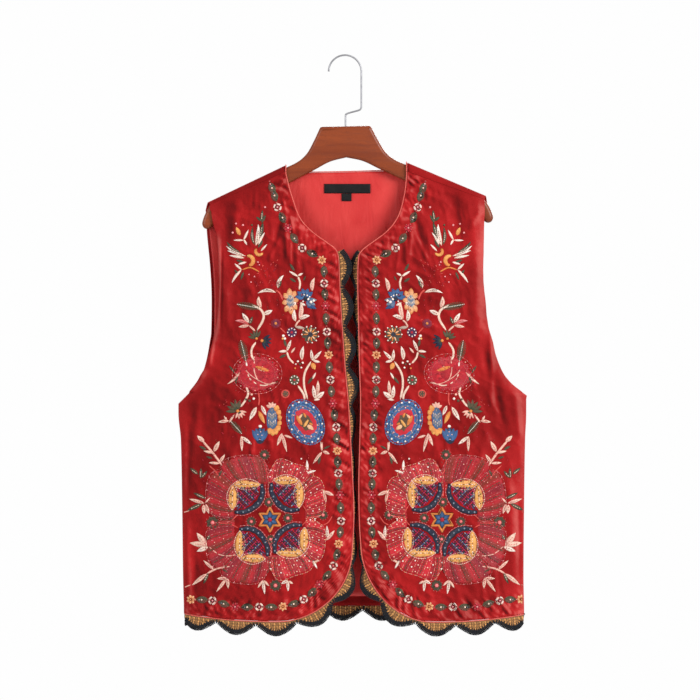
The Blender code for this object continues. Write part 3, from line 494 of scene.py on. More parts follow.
# Creases: x and height of one end, how far across and up the other lies, half width and height
# (below 0 for a trough)
CREASES = {
    RIGHT: (
        (-87, -251, 3, -47, 3.5, 1.5), (-92, -208, 5, -20, 2.5, 0.9), (-80, -234, 4, -26, 2.5, 1),
        (-96, -266, -15, -32, 3.5, 1.5), (-80, -269, 0, -37, 2.5, 1.2), (-93, -232, -13, -61, 4.5, -1.4),
        (-72, -273, 3, -36, 3, 0.8), (-64, -301, 3, -32, 3, -0.8), (-173, -190, 0, -114, 8.5, -1.3),
        (-156, -211, -5, -46, 6, 0.9), (-187, -266, 0, -90, 3.5, 1.6), (-188, -334, -3, -80, 3.5, 1.5),
        (-190, -396, -8, -55, 3, 1.3), (-180, -277, -2, -125, 2.5, -0.9), (-203, -460, -28, -35, 5, 1.2),
        (-85, -379, 1, -16, 2.5, 0.7), (-74, -393, -2, -18, 2.5, -0.6), (-134, -559, -2, -24, 2.5, 0.9),
        (-109, -557, 0, -16, 2.5, 0.8), (-61, -565, 4, -14, 2.5, 0.8), (-212, -501, -7, -75, 7, 1.2),
        (-228, -544, -2, -102, 4.5, -1), (-231, -675, 1, -110, 5, 1.1), (-217, -733, -5, -58, 4.5, -0.8),
        (-40, -356, 0, -46, 4.5, 0.8), (-22, -489, -6, -70, 4.5, 0.8), (-160, -567, -10, -35, 4.5, 0.9),
        (-173, -335, 3, -64, 6, 0.9), (-147, -341, -6, -41, 6, -0.9),
    ),
    LEFT: (
        (181, -251, 19, 32, 5, 1.5), (192, -257, -1, -151, 10, 1.6), (211, -399, 2, -108, 4.5, 1.8),
        (200, -422, 33, -128, 6.5, -1.7), (246, -489, 9, -70, 6.5, 1.5), (95, -251, -3, -50, 3.5, 1.4),
        (104, -266, 16, -35, 3.5, 1.3), (100, -231, 14, -61, 4.5, -1.3), (87, -269, 2, -37, 3, 1),
        (78, -277, -5, -38, 3, 0.8), (160, -199, 9, -84, 8.5, -1.2), (204, -248, -3, -108, 3, -0.9),
        (146, -560, 3, -25, 2.5, 0.9), (120, -559, -2, -17, 2.5, 0.8), (39, -356, 1, -52, 4.5, 0.8),
        (30, -576, 9, -70, 4, -0.9), (40, -602, 2, -102, 3, 0.8), (236, -602, 9, -131, 7, 1.2),
        (253, -646, 2, -130, 4.5, -1), (204, -553, -12, -49, 6, 0.9), (216, -733, 4, -64, 4.5, 0.8),
    ),
    "back": (
        (-153, -211, -6, -188, 13, 1.6), (-121, -254, 12, -276, 14.5, -1.4),
        (-66, -196, -4, -247, 11.5, 1.3), (0, -269, -2, -333, 16, -1.6), (62, -196, 6, -232, 11.5, 1.3),
        (155, -218, 5, -181, 13, 1.6), (120, -269, -12, -275, 14.5, -1.3),
        (-190, -501, 31, -174, 11.5, 1.8), (213, -501, -32, -203, 11.5, 1.8),
        (-167, -602, -12, -189, 10, -1.4), (-87, -573, 10, -226, 13, 1.6), (-15, -544, -7, -247, 11.5, 1.4),
        (73, -559, 12, -232, 13, -1.5), (137, -602, 9, -197, 11.5, 1.6), (201, -646, 9, -145, 8.5, -1.2),
        (-124, -675, -6, -124, 7, 1.1), (24, -675, 6, -122, 7, 1.2),
    ),
}


# ---- curves


def curve_through(points, steps=8):
    """A Catmull-Rom curve through the points, with a few steps between each two."""
    p = np.array(points, float)
    ends = np.vstack([2 * p[0] - p[1], p, 2 * p[-1] - p[-2]])
    t = (np.arange(steps) / steps)[:, None]
    out = []
    for k in range(1, len(ends) - 2):
        a, b, c, d = ends[k - 1 : k + 3]
        bend = (2 * a - 5 * b + 4 * c - d) * t**2 + (3 * b - 3 * c + d - a) * t**3
        out.append(b + 0.5 * ((c - a) * t + bend))
    return np.vstack(out + [p[-1:]])


def distances(line):
    """How far along a line each of its points lies."""
    return np.concatenate([[0], np.cumsum(np.linalg.norm(np.diff(line, axis=0), axis=1))])


def along_with(line, values, shares):
    """The values that belong to a line's points, at these shares of its length."""
    start = distances(line)
    wanted = np.asarray(shares) * start[-1]
    return np.stack([np.interp(wanted, start, column) for column in np.asarray(values, float).T], axis=1)


def along(line, shares):
    """Points at these shares of a line's length."""
    return along_with(line, line, shares)


def unit(vectors):
    """The same directions with a length of 1."""
    return vectors / np.linalg.norm(vectors, axis=-1, keepdims=True)


def length_of(line):
    return float(distances(line)[-1])


def level(table, height, column):
    """A table's column at a height, on a smooth curve that never swings past its rows."""
    z = np.array([row[0] for row in table])[::-1]
    value = np.array([row[column] for row in table])[::-1]
    rise = np.diff(value) / np.diff(z)
    slope = np.zeros(len(z))
    same = rise[1:] * rise[:-1] > 0
    slope[1:-1][same] = (2 * rise[1:] * rise[:-1])[same] / (rise[1:] + rise[:-1])[same]
    at = np.clip(height, z[0], z[-1])
    k = np.clip(np.searchsorted(z, at, side="right") - 1, 0, len(z) - 2)
    step = z[k + 1] - z[k]
    t = (at - z[k]) / step
    start = value[k] * (1 + 2 * t) * (1 - t) ** 2 + slope[k] * step * t * (1 - t) ** 2
    return start + value[k + 1] * t * t * (3 - 2 * t) - slope[k + 1] * step * t * t * (1 - t)


def smoothstep(t):
    t = np.clip(t, 0, 1)
    return t * t * (3 - 2 * t)


# ---- where the cloth lies


def arm_top(x):
    """The height of an arm's top edge, on the level hanger."""
    return ARM_ANCHOR[1] - ARM_SLOPE * (abs(x) - ARM_ANCHOR[0])


def tilted(x, z):
    """A point of the level board after it is tilted about the middle of its top edge."""
    below = z - BOARD_TOP
    cos, sin = math.cos(TILT), math.sin(TILT)
    return x * cos - below * sin, BOARD_TOP + x * sin + below * cos


def fold_on(side, x):
    """The height of the line where the cloth folds over an arm."""
    (x0, z0), (x1, z1) = (tilted(side * end, arm_top(end) + ARM_TO_FOLD) for end in ARM_STRAIGHT)
    return z0 + (x - x0) * (z1 - z0) / (x1 - x0)


def fold(x):
    """The height of the shoulder fold at x, carried level between the two neck sides."""
    neck_r, neck_l = NECKS
    share = (x - neck_r) / (neck_l - neck_r)
    between = fold_on(RIGHT, neck_r) * (1 - share) + fold_on(LEFT, neck_l) * share
    return np.where(x < neck_r, fold_on(RIGHT, x), np.where(x > neck_l, fold_on(LEFT, x), between))


def armhole_line(key, side):
    """A panel's armhole edge as (height, x), from its shoulder down to the underarm."""
    start = SHOULDER[side]["tip" if key == "back" else "seam_end"]
    table = ARMHOLE_BACK if key == "back" else ARMHOLE_FRONT
    return curve_through([(ARMHOLE_TOP, start)] + list(table[side]))


ARMHOLE_LINES = {(key, side): armhole_line(key, side) for key in ("front", "back") for side in (RIGHT, LEFT)}


def outer_edge(key, side, z):
    """The x of a panel's armhole or side edge at a height."""
    line = ARMHOLE_LINES[key, side]
    above = np.interp(z, line[::-1, 0], line[::-1, 1])
    below = level(SIDE_SEAM, z, COLUMN[side])
    return np.where(z > line[-1, 0], above, below)


def depth(key, x, z):
    """How far the outer face lies from the hanger's plane, below the shoulders."""
    side_edge = np.where(x < BODY_CENTRE, outer_edge(key, RIGHT, z), outer_edge(key, LEFT, z))
    across = np.clip(np.abs((x - BODY_CENTRE) / (side_edge - BODY_CENTRE)), 0, 1)
    crown = np.sqrt(1 - across**CROWN_POWER)
    at_edge = level(DEPTH, z, 1)
    full = at_edge + (level(DEPTH, z, 2 if key == "front" else 3) - at_edge) * crown
    below = fold(x) - WRAP - z
    return WRAP + (full - WRAP) * smoothstep(below / SHOULDER_REACH)


def place(key, x, z):
    """A point of a panel's outer face at (x, height), below the turn over the shoulder."""
    y = depth(key, x, z)
    return np.stack([x, -y if key == "front" else y, z], axis=-1)


def over_shoulder(x, run):
    """A point of the outer face at a distance in front of the fold (behind it if negative)."""
    turn = np.clip(run / WRAP, -math.pi / 2, math.pi / 2)
    straight = np.abs(run) - WRAP * np.abs(turn)
    return np.stack([x, -WRAP * np.sin(turn), fold(x) - WRAP * (1 - np.cos(turn)) - straight], axis=-1)


def net(left, right, top, bottom):
    """A grid between four edges (a Coons patch): rows run from the left edge to the right edge."""
    left, right, top, bottom = (np.asarray(e, float) for e in (left, right, top, bottom))
    v = np.linspace(0, 1, len(left))[:, None, None]
    chord = top[-1] - top[0]
    u = ((top - top[0]) @ chord / (chord @ chord))[None, :, None]
    across = (1 - u) * left[:, None] + u * right[:, None]
    down = (1 - v) * top[None] + v * bottom[None]
    upper = (1 - u) * top[0] + u * top[-1]
    lower = (1 - u) * bottom[0] + u * bottom[-1]
    return across + down - (1 - v) * upper - v * lower


# ---- panel outlines


def seam_run(side, x):
    """How far in front of the fold the shoulder seam lies at x."""
    s = SHOULDER[side]
    share = np.clip((x - s["neck"]) / (s["tip"] - s["neck"]), 0, 1)
    return s["at_neck"] + (s["at_tip"] - s["at_neck"]) * share


def flat_run(side, x):
    """How far in front of the fold the front panel has turned fully down."""
    return np.maximum(seam_run(side, x), WRAP_ARC) + BELOW_TURN


def flat_height(side, x):
    return float(over_shoulder(np.array(x), flat_run(side, x))[2])


def front_line(side):
    """The front's free edge: neckline, front edge, rounded corner and hem, as (x, height)."""
    neck = SHOULDER[side]["neck"]
    corner = CORNER[side]
    reach = corner["edge_x"] - corner["centre_x"]
    drop = corner["start"] - corner["bottom"]
    arc = [
        (corner["centre_x"] + reach * math.cos(a), corner["start"] - drop * math.sin(a))
        for a in np.radians((0, 15, 30, 45, 60, 75, 90))
    ]
    points = [(neck, flat_height(side, neck))] + list(NECKLINE[side])
    points += [(row[COLUMN[side]], row[0]) for row in FRONT_EDGE] + arc
    middle = (np.array(arc[-1]) + np.array(HEM_SIDE[side])) / 2 - (0, HEM_SAG)
    return curve_through(points + [tuple(middle), HEM_SIDE[side]])


def share_at_height(line, z):
    """The share of a descending line's length at which it reaches a height."""
    lengths = distances(line)
    first = int(np.argmax(line[:, 1] <= z))
    above, below = line[first - 1, 1], line[first, 1]
    part = (above - z) / (above - below)
    return (lengths[first - 1] + part * (lengths[first] - lengths[first - 1])) / lengths[-1]


def crowded(count):
    """Shares from the front edge to the side, closer together where the cloth turns."""
    shares = np.linspace(0, 1, count + 1)
    return (shares + np.sin(shares * math.pi / 2)) / 2


def side_edges(key, side, start, rows_above, hem, rows_below):
    """A panel's armhole edge, from its start to the underarm, and its side edge on to the hem."""
    armhole = ARMHOLE_LINES[key, side][:, ::-1]
    outer = np.vstack([[start], armhole[armhole[:, 1] < start[1] - TRIM]])
    z = np.linspace(armhole[-1, 1], hem, rows_below + 1)
    low = np.stack([outer_edge(key, side, z), z], axis=1)
    return along(outer, np.linspace(0, 1, rows_above + 1)), low


def front_grid(side):
    """The right or left front's outer face: rows from the shoulder seam to the hem."""
    line = front_line(side)
    start = [(x, flat_height(side, x)) for x in (line[0][0], SHOULDER[side]["seam_end"])]
    armhole, low = side_edges("front", side, start[-1], ROWS_ABOVE, HEM_SIDE[side][1], ROWS_BELOW)
    underarm = armhole[-1]
    at_waist = share_at_height(line, underarm[1] + TRIM)
    corner = CORNER[side]
    turn = share_at_height(line, corner["start"] - CORNER_SHARE * (corner["start"] - corner["bottom"]))
    shares = crowded(FRONT_COLUMNS)
    inner_top = along(line, np.linspace(0, at_waist, ROWS_ABOVE + 1))
    inner_low = along(line, np.linspace(at_waist, turn, ROWS_BELOW + 1))
    waist = along((inner_top[-1], underarm), shares)
    hem = along(line, turn + (1 - turn) * shares)
    above = net(inner_top, armhole, along(start, shares), waist)
    flat = np.vstack([above, net(inner_low, low, waist, hem)[1:]])
    grid = place("front", flat[..., 0], flat[..., 1])
    x = flat[0, :, 0]
    seam, end = seam_run(side, x) + SEAM / 2, flat_run(side, x)
    grid[0] = over_shoulder(x, end)
    grid = np.concatenate([[over_shoulder(x, seam + (end - seam) * step) for step in SEAM_ROWS], grid])
    returned = grid[:, -1:] + (0, EDGE_RETURN, 0)
    turning = len(SEAM_ROWS)
    inwards = grid_normals(grid, -side)[:turning, -1:]
    returned[:turning] = grid[:turning, -1:] - EDGE_RETURN * inwards
    return np.concatenate([grid, returned], axis=1)


def back_columns():
    """Shares across the back: the right shoulder, the neck and the left shoulder."""
    necks = [(neck - TIPS[0]) / (TIPS[1] - TIPS[0]) for neck in NECKS]
    ramp = 1 - np.cos(np.linspace(0, math.pi / 2, SHOULDER_COLUMNS + 1))
    neck = np.linspace(necks[0], necks[1], NECK_COLUMNS + 1)[1:-1]
    return np.concatenate([necks[0] * ramp, neck, 1 - (1 - necks[1]) * ramp[::-1]])


def back_grid():
    """The back's outer face from the turn over the shoulders to the hem."""
    shares = back_columns()
    x = TIPS[0] + shares * (TIPS[1] - TIPS[0])
    sag = np.clip((x - NECKS[0]) * (NECKS[1] - x) / ((NECKS[1] - NECKS[0]) / 2) ** 2, 0, 1)
    top = np.stack([x, fold(x) - WRAP - BACK_NECK_SAG * np.sqrt(sag)], axis=1)
    (right, right_low), (left, left_low) = (
        side_edges("back", side, start, BACK_ROWS_ABOVE, BACK_HEM["side"], BACK_ROWS_BELOW)
        for side, start in ((RIGHT, top[0]), (LEFT, top[-1]))
    )
    waist, hem = along((right[-1], left[-1]), shares), along((right_low[-1], left_low[-1]), shares)
    hem[:, 1] += (BACK_HEM["centre"] - BACK_HEM["side"]) * np.sin(math.pi * shares)
    flat = np.vstack([net(right, left, top, waist), net(right_low, left_low, waist, hem)[1:]])
    grid = place("back", flat[..., 0], flat[..., 1])
    grid[0] = over_shoulder(flat[0, :, 0], -(WRAP_ARC + fold(flat[0, :, 0]) - WRAP - flat[0, :, 1]))
    ends = grid[:, [0, -1]].copy()
    ends[..., 1] -= EDGE_RETURN
    return np.concatenate([ends[:, :1], grid, ends[:, 1:]], axis=1)


def flap_grid(side, x):
    """The back's extension over one shoulder, down to the seam on the front."""
    s = SHOULDER[side]
    outwards = (x - s["neck"]) / (s["tip"] - s["neck"])
    steps = list(np.arange(1, FLAP_ROWS) / FLAP_ROWS) + [FLAP_END_STEP, 1]
    rows = []
    for step in steps:
        across = x + (s["seam_end"] - s["tip"]) * outwards * step
        end = seam_run(side, across) - SEAM / 2
        rows.append(over_shoulder(across, (end + WRAP_ARC) * step - WRAP_ARC))
    return np.array(rows)


# ---- creases


def crease_rise(key, x, z):
    """How far the placed creases stand out of (or sink into) a smooth panel."""
    rise = np.zeros(np.shape(x))
    for x0, z0, run_x, run_z, half_width, height in CREASES[key]:
        length = math.hypot(run_x, run_z)
        share = ((x - x0) * run_x + (z - z0) * run_z) / length**2
        off = ((x - x0) * run_z - (z - z0) * run_x) / length
        ends = smoothstep((share + CREASE_PAST) / CREASE_FADE)
        ends *= smoothstep((1 + CREASE_PAST - share) / CREASE_FADE)
        rise += CREASE_DEPTH * height * ends * np.exp(-((off / half_width) ** 2))
    return rise


def value_noise(kind, x, z):
    """Smooth random values from 0 to 1."""
    wide, tall, seed = NOISES[kind]
    u, v = x / wide, z / tall
    i, j = np.floor(u), np.floor(v)
    a, b = smoothstep(u - i), smoothstep(v - j)

    def corner(p, q):
        return np.modf(np.abs(np.sin(p * 12.9898 + q * 78.233 + seed * 37.719)) * 4375.85)[0]

    upper = corner(i, j) * (1 - a) + corner(i + 1, j) * a
    lower = corner(i, j + 1) * (1 - a) + corner(i + 1, j + 1) * a
    return upper * (1 - b) + lower * b


def cockle(x, z):
    """Uneven wrinkles that tight stitches leave in cloth: long ones down it, short ones across."""
    warp = COCKLE["wander"] * value_noise("wander", x, z)
    long = np.abs(2 * value_noise("long", x + 0.2 * z + warp, z - warp) - 1)
    slanting = np.abs(2 * value_noise("slanting", x - 0.45 * z + warp, z + 0.5 * x - warp) - 1)
    small = value_noise("small", x + warp, z + warp) - 0.5
    return COCKLE["level"] - COCKLE["long"] * long - COCKLE["slanting"] * slanting + COCKLE["small"] * small


def beside_line(line, x, z):
    """Each point's distance from a line, and how far along the line that is."""
    run = np.diff(line, axis=0)
    length = np.linalg.norm(run, axis=1)
    start = distances(line)
    nearest = np.full(np.shape(x), np.inf)
    at = np.zeros(np.shape(x))
    for (x0, z0), (run_x, run_z), step, begun in zip(line[:-1], run, length, start):
        share = np.clip(((x - x0) * run_x + (z - z0) * run_z) / step**2, 0, 1)
        off = np.hypot(x - x0 - share * run_x, z - z0 - share * run_z)
        closer = off < nearest
        nearest = np.where(closer, off, nearest)
        at = np.where(closer, begun + share * step, at)
    return nearest, at


def puckers(off, at):
    """Uneven slanting gathers across the band between a front's edge and its stitched border."""
    gather = value_noise("gathers", at + 0.6 * off, off + PUCKER_DRIFT * at) - 0.5
    strength = 0.5 + 1.1 * value_noise("strength", at, off)
    small = value_noise("small_gathers", at - 0.5 * off, off) - 0.5
    band = smoothstep((off - 1) / 4) * smoothstep((PUCKER_REACH - off) / 14)
    return PUCKER_HEIGHT * strength * band * (2 * gather + small)


def off_side(key, x, z):
    """How far in from the nearer armhole or side edge a place lies."""
    panel = "back" if key == "back" else "front"
    return np.minimum(x - outer_edge(panel, RIGHT, z), outer_edge(panel, LEFT, z) - x)


def cloth_rise(key, x, z):
    """How far the creased cloth stands out of the smooth panel; it fades out where panels meet."""
    to_side = off_side(key, x, z)
    sewn = np.where(z < SEWN_BELOW, smoothstep(to_side / GROW["side"]), 1)
    shoulder = smoothstep((fold(x) - WRAP - z) / GROW["shoulder"])
    rise = crease_rise(key, x, z)
    if key == "back":
        inside = smoothstep(to_side / GROW["back"]) * smoothstep((z - BACK_HEM["side"]) / GROW["back"])
        rise += BACK_COCKLE * cockle(x, z) * inside
    else:
        off, at = beside_line(FRONT_LINES[key], x, z)
        worked = PLAIN_SHARE + (1 - PLAIN_SHARE) * smoothstep((to_side - GROW["side"]) / GROW["plain"])
        worked = worked * smoothstep((off - EDGE_STILL) / GROW["edge"])
        rise += FRONT_COCKLE * cockle(x, z) * worked + puckers(off, at)
    return rise * sewn * shoulder


def creased(key, grid, normals):
    """A smooth grid moved out along its normals by the cloth's creases."""
    return grid + normals * cloth_rise(key, grid[..., 0], grid[..., 2])[..., None]


def paint_light_and_wear(key, mesh):
    """Gives every point of a cloth its painted light and wear: painted light and shade by how far it
    tilts right and up, towards the light or away, a painted highlight on its ridges, painted shade in
    its troughs, and painted light growing to the right.

    The pile is painted pale along the armhole, side and front edges: wear, which also stands as a
    painted highlight where the cloth turns, and along the front's edge as painted highlights on its
    puckers."""
    places = np.empty(3 * len(mesh.vertices))
    mesh.vertices.foreach_get("co", places)
    x, _, z = places.reshape(-1, 3).T / MM
    # Painted light and shade: cloth tilted right and up, towards the key light, is painted paler, and cloth
    # tilted away darker
    tilt_x = cloth_rise(key, x - 1, z) - cloth_rise(key, x + 1, z)
    tilt_z = cloth_rise(key, x, z - 1) - cloth_rise(key, x, z + 1)
    tilt = (PAINTED_LIGHT_AND_WEAR["tilt"][0] * tilt_x + PAINTED_LIGHT_AND_WEAR["tilt"][1] * tilt_z) / 2
    # Its mean, the painted light of its tilt, and a painted highlight on ridges with painted shade in troughs
    painted_light_and_wear = PAINTED_LIGHT_AND_WEAR["level"] + tilt + PAINTED_LIGHT_AND_WEAR["rise"] * cloth_rise(key, x, z)
    # Painted light growing towards the right
    painted_light_and_wear += PAINTED_LIGHT_AND_WEAR["lit_rightwards"] * (x - BODY_CENTRE)
    # Wear along the armhole and side edges, painted pale, which also stands as a painted highlight where the
    # cloth turns
    painted_light_and_wear += PAINTED_LIGHT_AND_WEAR["worn"] * np.exp(-((off_side(key, x, z) / PAINTED_LIGHT_AND_WEAR["worn_reach"]) ** 2))
    # Pale handled specks along the front's edge: wear, and painted highlights on its puckers
    if key != "back":
        off = beside_line(FRONT_LINES[key], x, z)[0]
        specks = value_noise("specks", x + 0.4 * z, z - 0.3 * x) ** 2
        painted_light_and_wear += PAINTED_LIGHT_AND_WEAR["handled_and_highlit"] * specks * np.exp(-((off / PAINTED_LIGHT_AND_WEAR["handled_and_highlit_reach"]) ** 2))
    mesh.attributes.new("painted_light_and_wear", "FLOAT", "POINT").data.foreach_set("value", painted_light_and_wear)


def on_cloth(key, x, z, lift):
    """Points above the creased cloth at (x, height), and the cloth's normals there."""
    panel, facing = ("back", 1) if key == "back" else ("front", -1)
    step = 0.5
    slope_x = (depth(panel, x + step, z) - depth(panel, x - step, z)) / (2 * step)
    slope_z = (depth(panel, x, z + step) - depth(panel, x, z - step)) / (2 * step)
    normal = unit(np.stack([-slope_x, np.full(np.shape(x), facing), -slope_z], axis=-1))
    out = cloth_rise(key, x, z) + lift
    return place(panel, x, z) + normal * out[..., None], normal


# ---- meshes


def grid_normals(grid, turn):
    """Unit normals of a grid; turn is 1 or -1 and makes them point out of the garment."""
    across, down = np.gradient(grid, axis=1), np.gradient(grid, axis=0)
    return unit(np.cross(across, down) * turn)


def add_piece(name, mesh, slot, replaced, *materials):
    """A finished piece: it rides on the vest's one body and stands for its CAD nodes."""
    obj = bpy.data.objects.new(name, mesh)
    vest.objects.link(obj)
    for material in materials:
        mesh.materials.append(material)
    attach(obj, "root")
    if replaced:
        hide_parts(*replaced)
    return obj


def cloth_mesh(name, grids, out_sign):
    """An open surface of grids that share their edge points, facing out of the garment."""
    mesh = bpy.data.meshes.new(name)
    bm = bmesh.new()
    found = {}

    def vert(point):
        key = tuple(np.round(point, 3))
        if key not in found:
            found[key] = bm.verts.new(Vector(point) * MM)
        return found[key]

    for grid in grids:
        corners = [[vert(p) for p in row] for row in grid]
        for above, below in zip(corners, corners[1:]):
            for j in range(len(above) - 1):
                quad = [above[j], below[j], below[j + 1], above[j + 1]]
                if len(set(quad)) == 4:
                    bm.faces.new(quad)
    bmesh.ops.recalc_face_normals(bm, faces=bm.faces)
    bm.faces.ensure_lookup_table()
    if bm.faces[len(bm.faces) // 2].normal.y * out_sign > 0:
        bmesh.ops.reverse_faces(bm, faces=bm.faces)
    bm.to_mesh(mesh)
    bm.free()
    mesh.shade_smooth()
    return mesh


def give_wall(obj, wall, offset=-1, inner_material=0):
    """Thickens a sheet, inwards unless offset says otherwise."""
    solidify = obj.modifiers.new("wall", "SOLIDIFY")
    solidify.thickness = wall * MM
    solidify.offset = offset
    solidify.material_offset = inner_material


def placed(name, data):
    """A new object in the scene."""
    obj = bpy.data.objects.new(name, data)
    bpy.context.scene.collection.objects.link(obj)
    return obj


def worked_out(name, data, tree=None):
    """The mesh that a curve turns into, or the stations of a stitch tree."""
    obj = placed(name + "_guide", data)
    if tree:
        obj.modifiers.new("stitches", "NODES").node_group = tree
    bpy.context.view_layer.update()
    mesh = bpy.data.meshes.new_from_object(obj.evaluated_get(bpy.context.evaluated_depsgraph_get()))
    bpy.data.objects.remove(obj)
    mesh.name = name
    return mesh


def curve_mesh(name, points, closed=False, **settings):
    """The smooth closed mesh of a curve through the points, filled or bevelled by its settings."""
    curve = bpy.data.curves.new(name, "CURVE")
    for key, value in settings.items():
        setattr(curve, key, value)
    spline = curve.splines.new("POLY")
    spline.points.add(len(points) - 1)
    for spot, point in zip(spline.points, points):
        spot.co = (*(Vector(point) * MM), 1)
    spline.use_cyclic_u = closed
    mesh = worked_out(name, curve)
    bpy.data.curves.remove(curve)
    bm = bmesh.new()
    bm.from_mesh(mesh)
    bmesh.ops.remove_doubles(bm, verts=bm.verts, dist=WELD)
    bmesh.ops.recalc_face_normals(bm, faces=bm.faces)
    bm.to_mesh(mesh)
    bm.free()
    mesh.shade_smooth()
    return mesh


def cord_mesh(name, points, diameter):
    """A round cord or wire through the points, with closed ends."""
    round_section = {"bevel_depth": diameter / 2 * MM, "bevel_resolution": 3, "use_fill_caps": True}
    return curve_mesh(name, points, dimensions="3D", **round_section)


# ---- colours and nodes


def linear(hex_colour):
    """An sRGB hex colour as linear red, green and blue."""
    values = np.array([int(hex_colour[k : k + 2], 16) / 255 for k in (1, 3, 5)])
    return np.where(values <= 0.04045, values / 12.92, ((values + 0.055) / 1.055) ** 2.4)


def rgba(hex_colour):
    return (*linear(hex_colour), 1)


def add_node(tree, kind, inputs=None, output=0, stops=(), **settings):
    """Adds a node with its settings and links, and gives back one of its outputs.

    An input is a value or another node's output; stops are a colour ramp's places and colours."""
    node = tree.nodes.new(kind)
    for name, value in settings.items():
        setattr(node, name, value)
    for name, value in (inputs or {}).items():
        socket = node.inputs[name]
        if isinstance(value, bpy.types.NodeSocket):
            tree.links.new(value, socket)
        else:
            socket.default_value = value
    for k, (position, colour) in enumerate(stops):
        elements = node.color_ramp.elements
        stop = elements[k] if k < 2 else elements.new(position)
        stop.position = position
        stop.color = rgba(colour)
    return node.outputs[output] if len(node.outputs) else None


# ---- materials

NOISE, WAVE, RAMP = "ShaderNodeTexNoise", "ShaderNodeTexWave", "ShaderNodeValToRGB"
MATHS, MIX, MAPPING, RANGE = "ShaderNodeMath", "ShaderNodeMix", "ShaderNodeMapping", "ShaderNodeMapRange"


def new_material(name):
    """A material, what adds a node to it, and where its surface lies in the vest's own space."""
    material = bpy.data.materials.new(name)
    material.use_nodes = True
    material.node_tree.nodes.clear()
    node = partial(add_node, material.node_tree)
    return material, node, node("ShaderNodeTexCoord", None, "Object")


def mixed_in(node, colour, mask, low, high, share, other):
    """A colour with some of another mixed in where a mask goes from low to high."""
    part = node(RANGE, {0: mask, 1: low, 2: high, 4: share})
    return node(MIX, {0: part, 6: colour, 7: rgba(other)}, 2, data_type="RGBA")


def finish_material(node, colour, rough, height, bump, bump_distance, **settings):
    """Joins a colour, a roughness (a mask and its two ends) and a bump height to the shader."""
    mask, smooth_end, rough_end = rough
    roughness = node(RANGE, {0: mask, 1: 0.3, 2: 0.7, 3: smooth_end, 4: rough_end})
    relief = node("ShaderNodeBump", {"Strength": bump, "Distance": bump_distance, "Height": height})
    inputs = {"Base Color": colour, "Roughness": roughness, "Normal": relief}
    inputs.update({name.replace("_", " "): value for name, value in settings.items()})
    shader = node("ShaderNodeBsdfPrincipled", inputs)
    node("ShaderNodeOutputMaterial", {"Surface": shader})


def cotton_velvet():
    """Cotton velvet: a short dense pile. Each point is coloured from painted shade to a pale painted
    highlight by its painted light and wear, with random crushed patches."""
    material, node, where = new_material("cotton velvet, wine red")
    # Each point's painted light and shade of the creases, with its wear, as the cloth mesh holds it
    painted_light_and_wear = node("ShaderNodeAttribute", None, "Fac", attribute_name="painted_light_and_wear")
    lay = node(NOISE, {"Vector": where, "Scale": 12, "Distortion": 0.4})
    crushed = {"Scale": 130, "Detail": 3, "Roughness": 0.6, "Distortion": 1.4}
    crush = node(NOISE, {"Vector": where, **crushed})
    # The pile's tufts are 0.15 mm apart: too fine to show, so they are drawn at 0.9 mm
    tuft = node(NOISE, {"Vector": where, "Scale": 1100})
    # Random crushed patches are added to the painted light, and the sum is coloured from painted shade to a
    # painted highlight
    uneven = node(MATHS, {0: crush, 1: CRUSH_SHARE, 2: painted_light_and_wear}, operation="MULTIPLY_ADD")
    red = node(RAMP, {"Fac": uneven}, stops=VELVET_SHADE_TO_HIGHLIGHT)
    shade = node(RAMP, {"Fac": lay}, stops=((0.35, "#D2D2D2"), (0.65, "#FFFFFF")))
    red = node(MIX, {0: 1, 6: red, 7: shade}, 2, data_type="RGBA", blend_type="MULTIPLY")
    height = node(MATHS, {0: tuft, 1: 0.3, 2: crush}, operation="MULTIPLY_ADD")
    finish_material(
        node, red, (lay, 0.92, 0.8), height, 0.5, 0.0014,
        Sheen_Weight=0.35, Sheen_Roughness=0.35, Sheen_Tint=rgba("#FF7068"), Specular_IOR_Level=0.15,
    )
    return material


def lining_cloth():
    """Viscose lining, plain woven: thin, smooth, with a soft shine and faint wrinkles, painted lighter on
    their crests as a painted highlight.
    """
    material, node, where = new_material("viscose lining, coral")
    soft = node(NOISE, {"Vector": where, "Scale": 14, "Distortion": 0.4})
    stretched = node(MAPPING, {"Vector": where, "Scale": (26, 26, 9)})
    wrinkle = node(NOISE, {"Vector": stretched, "Scale": 2.2, "Detail": 3, "Distortion": 1.2})
    # Threads are 0.25 mm apart: too fine to show, so they are drawn at 1.2 mm
    warp, weft = (node(WAVE, {"Vector": where, "Scale": 260}, "Fac", bands_direction=axis) for axis in "XZ")
    weave = node(MATHS, {0: warp, 1: weft})
    colour = node(RAMP, {"Fac": soft}, stops=((0.35, "#B92322"), (0.65, "#C6332F")))
    # Painted highlight: the colour is lighter on the wrinkles' crests
    colour = mixed_in(node, colour, wrinkle, 0.55, 0.75, 0.3, "#CC443E")
    height = node(MATHS, {0: weave, 1: 0.02, 2: wrinkle}, operation="MULTIPLY_ADD")
    finish_material(
        node, colour, (soft, 0.5, 0.62), height, 0.5, 0.003,
        Sheen_Weight=0.2, Sheen_Roughness=0.4, Specular_IOR_Level=0.35,
    )
    return material


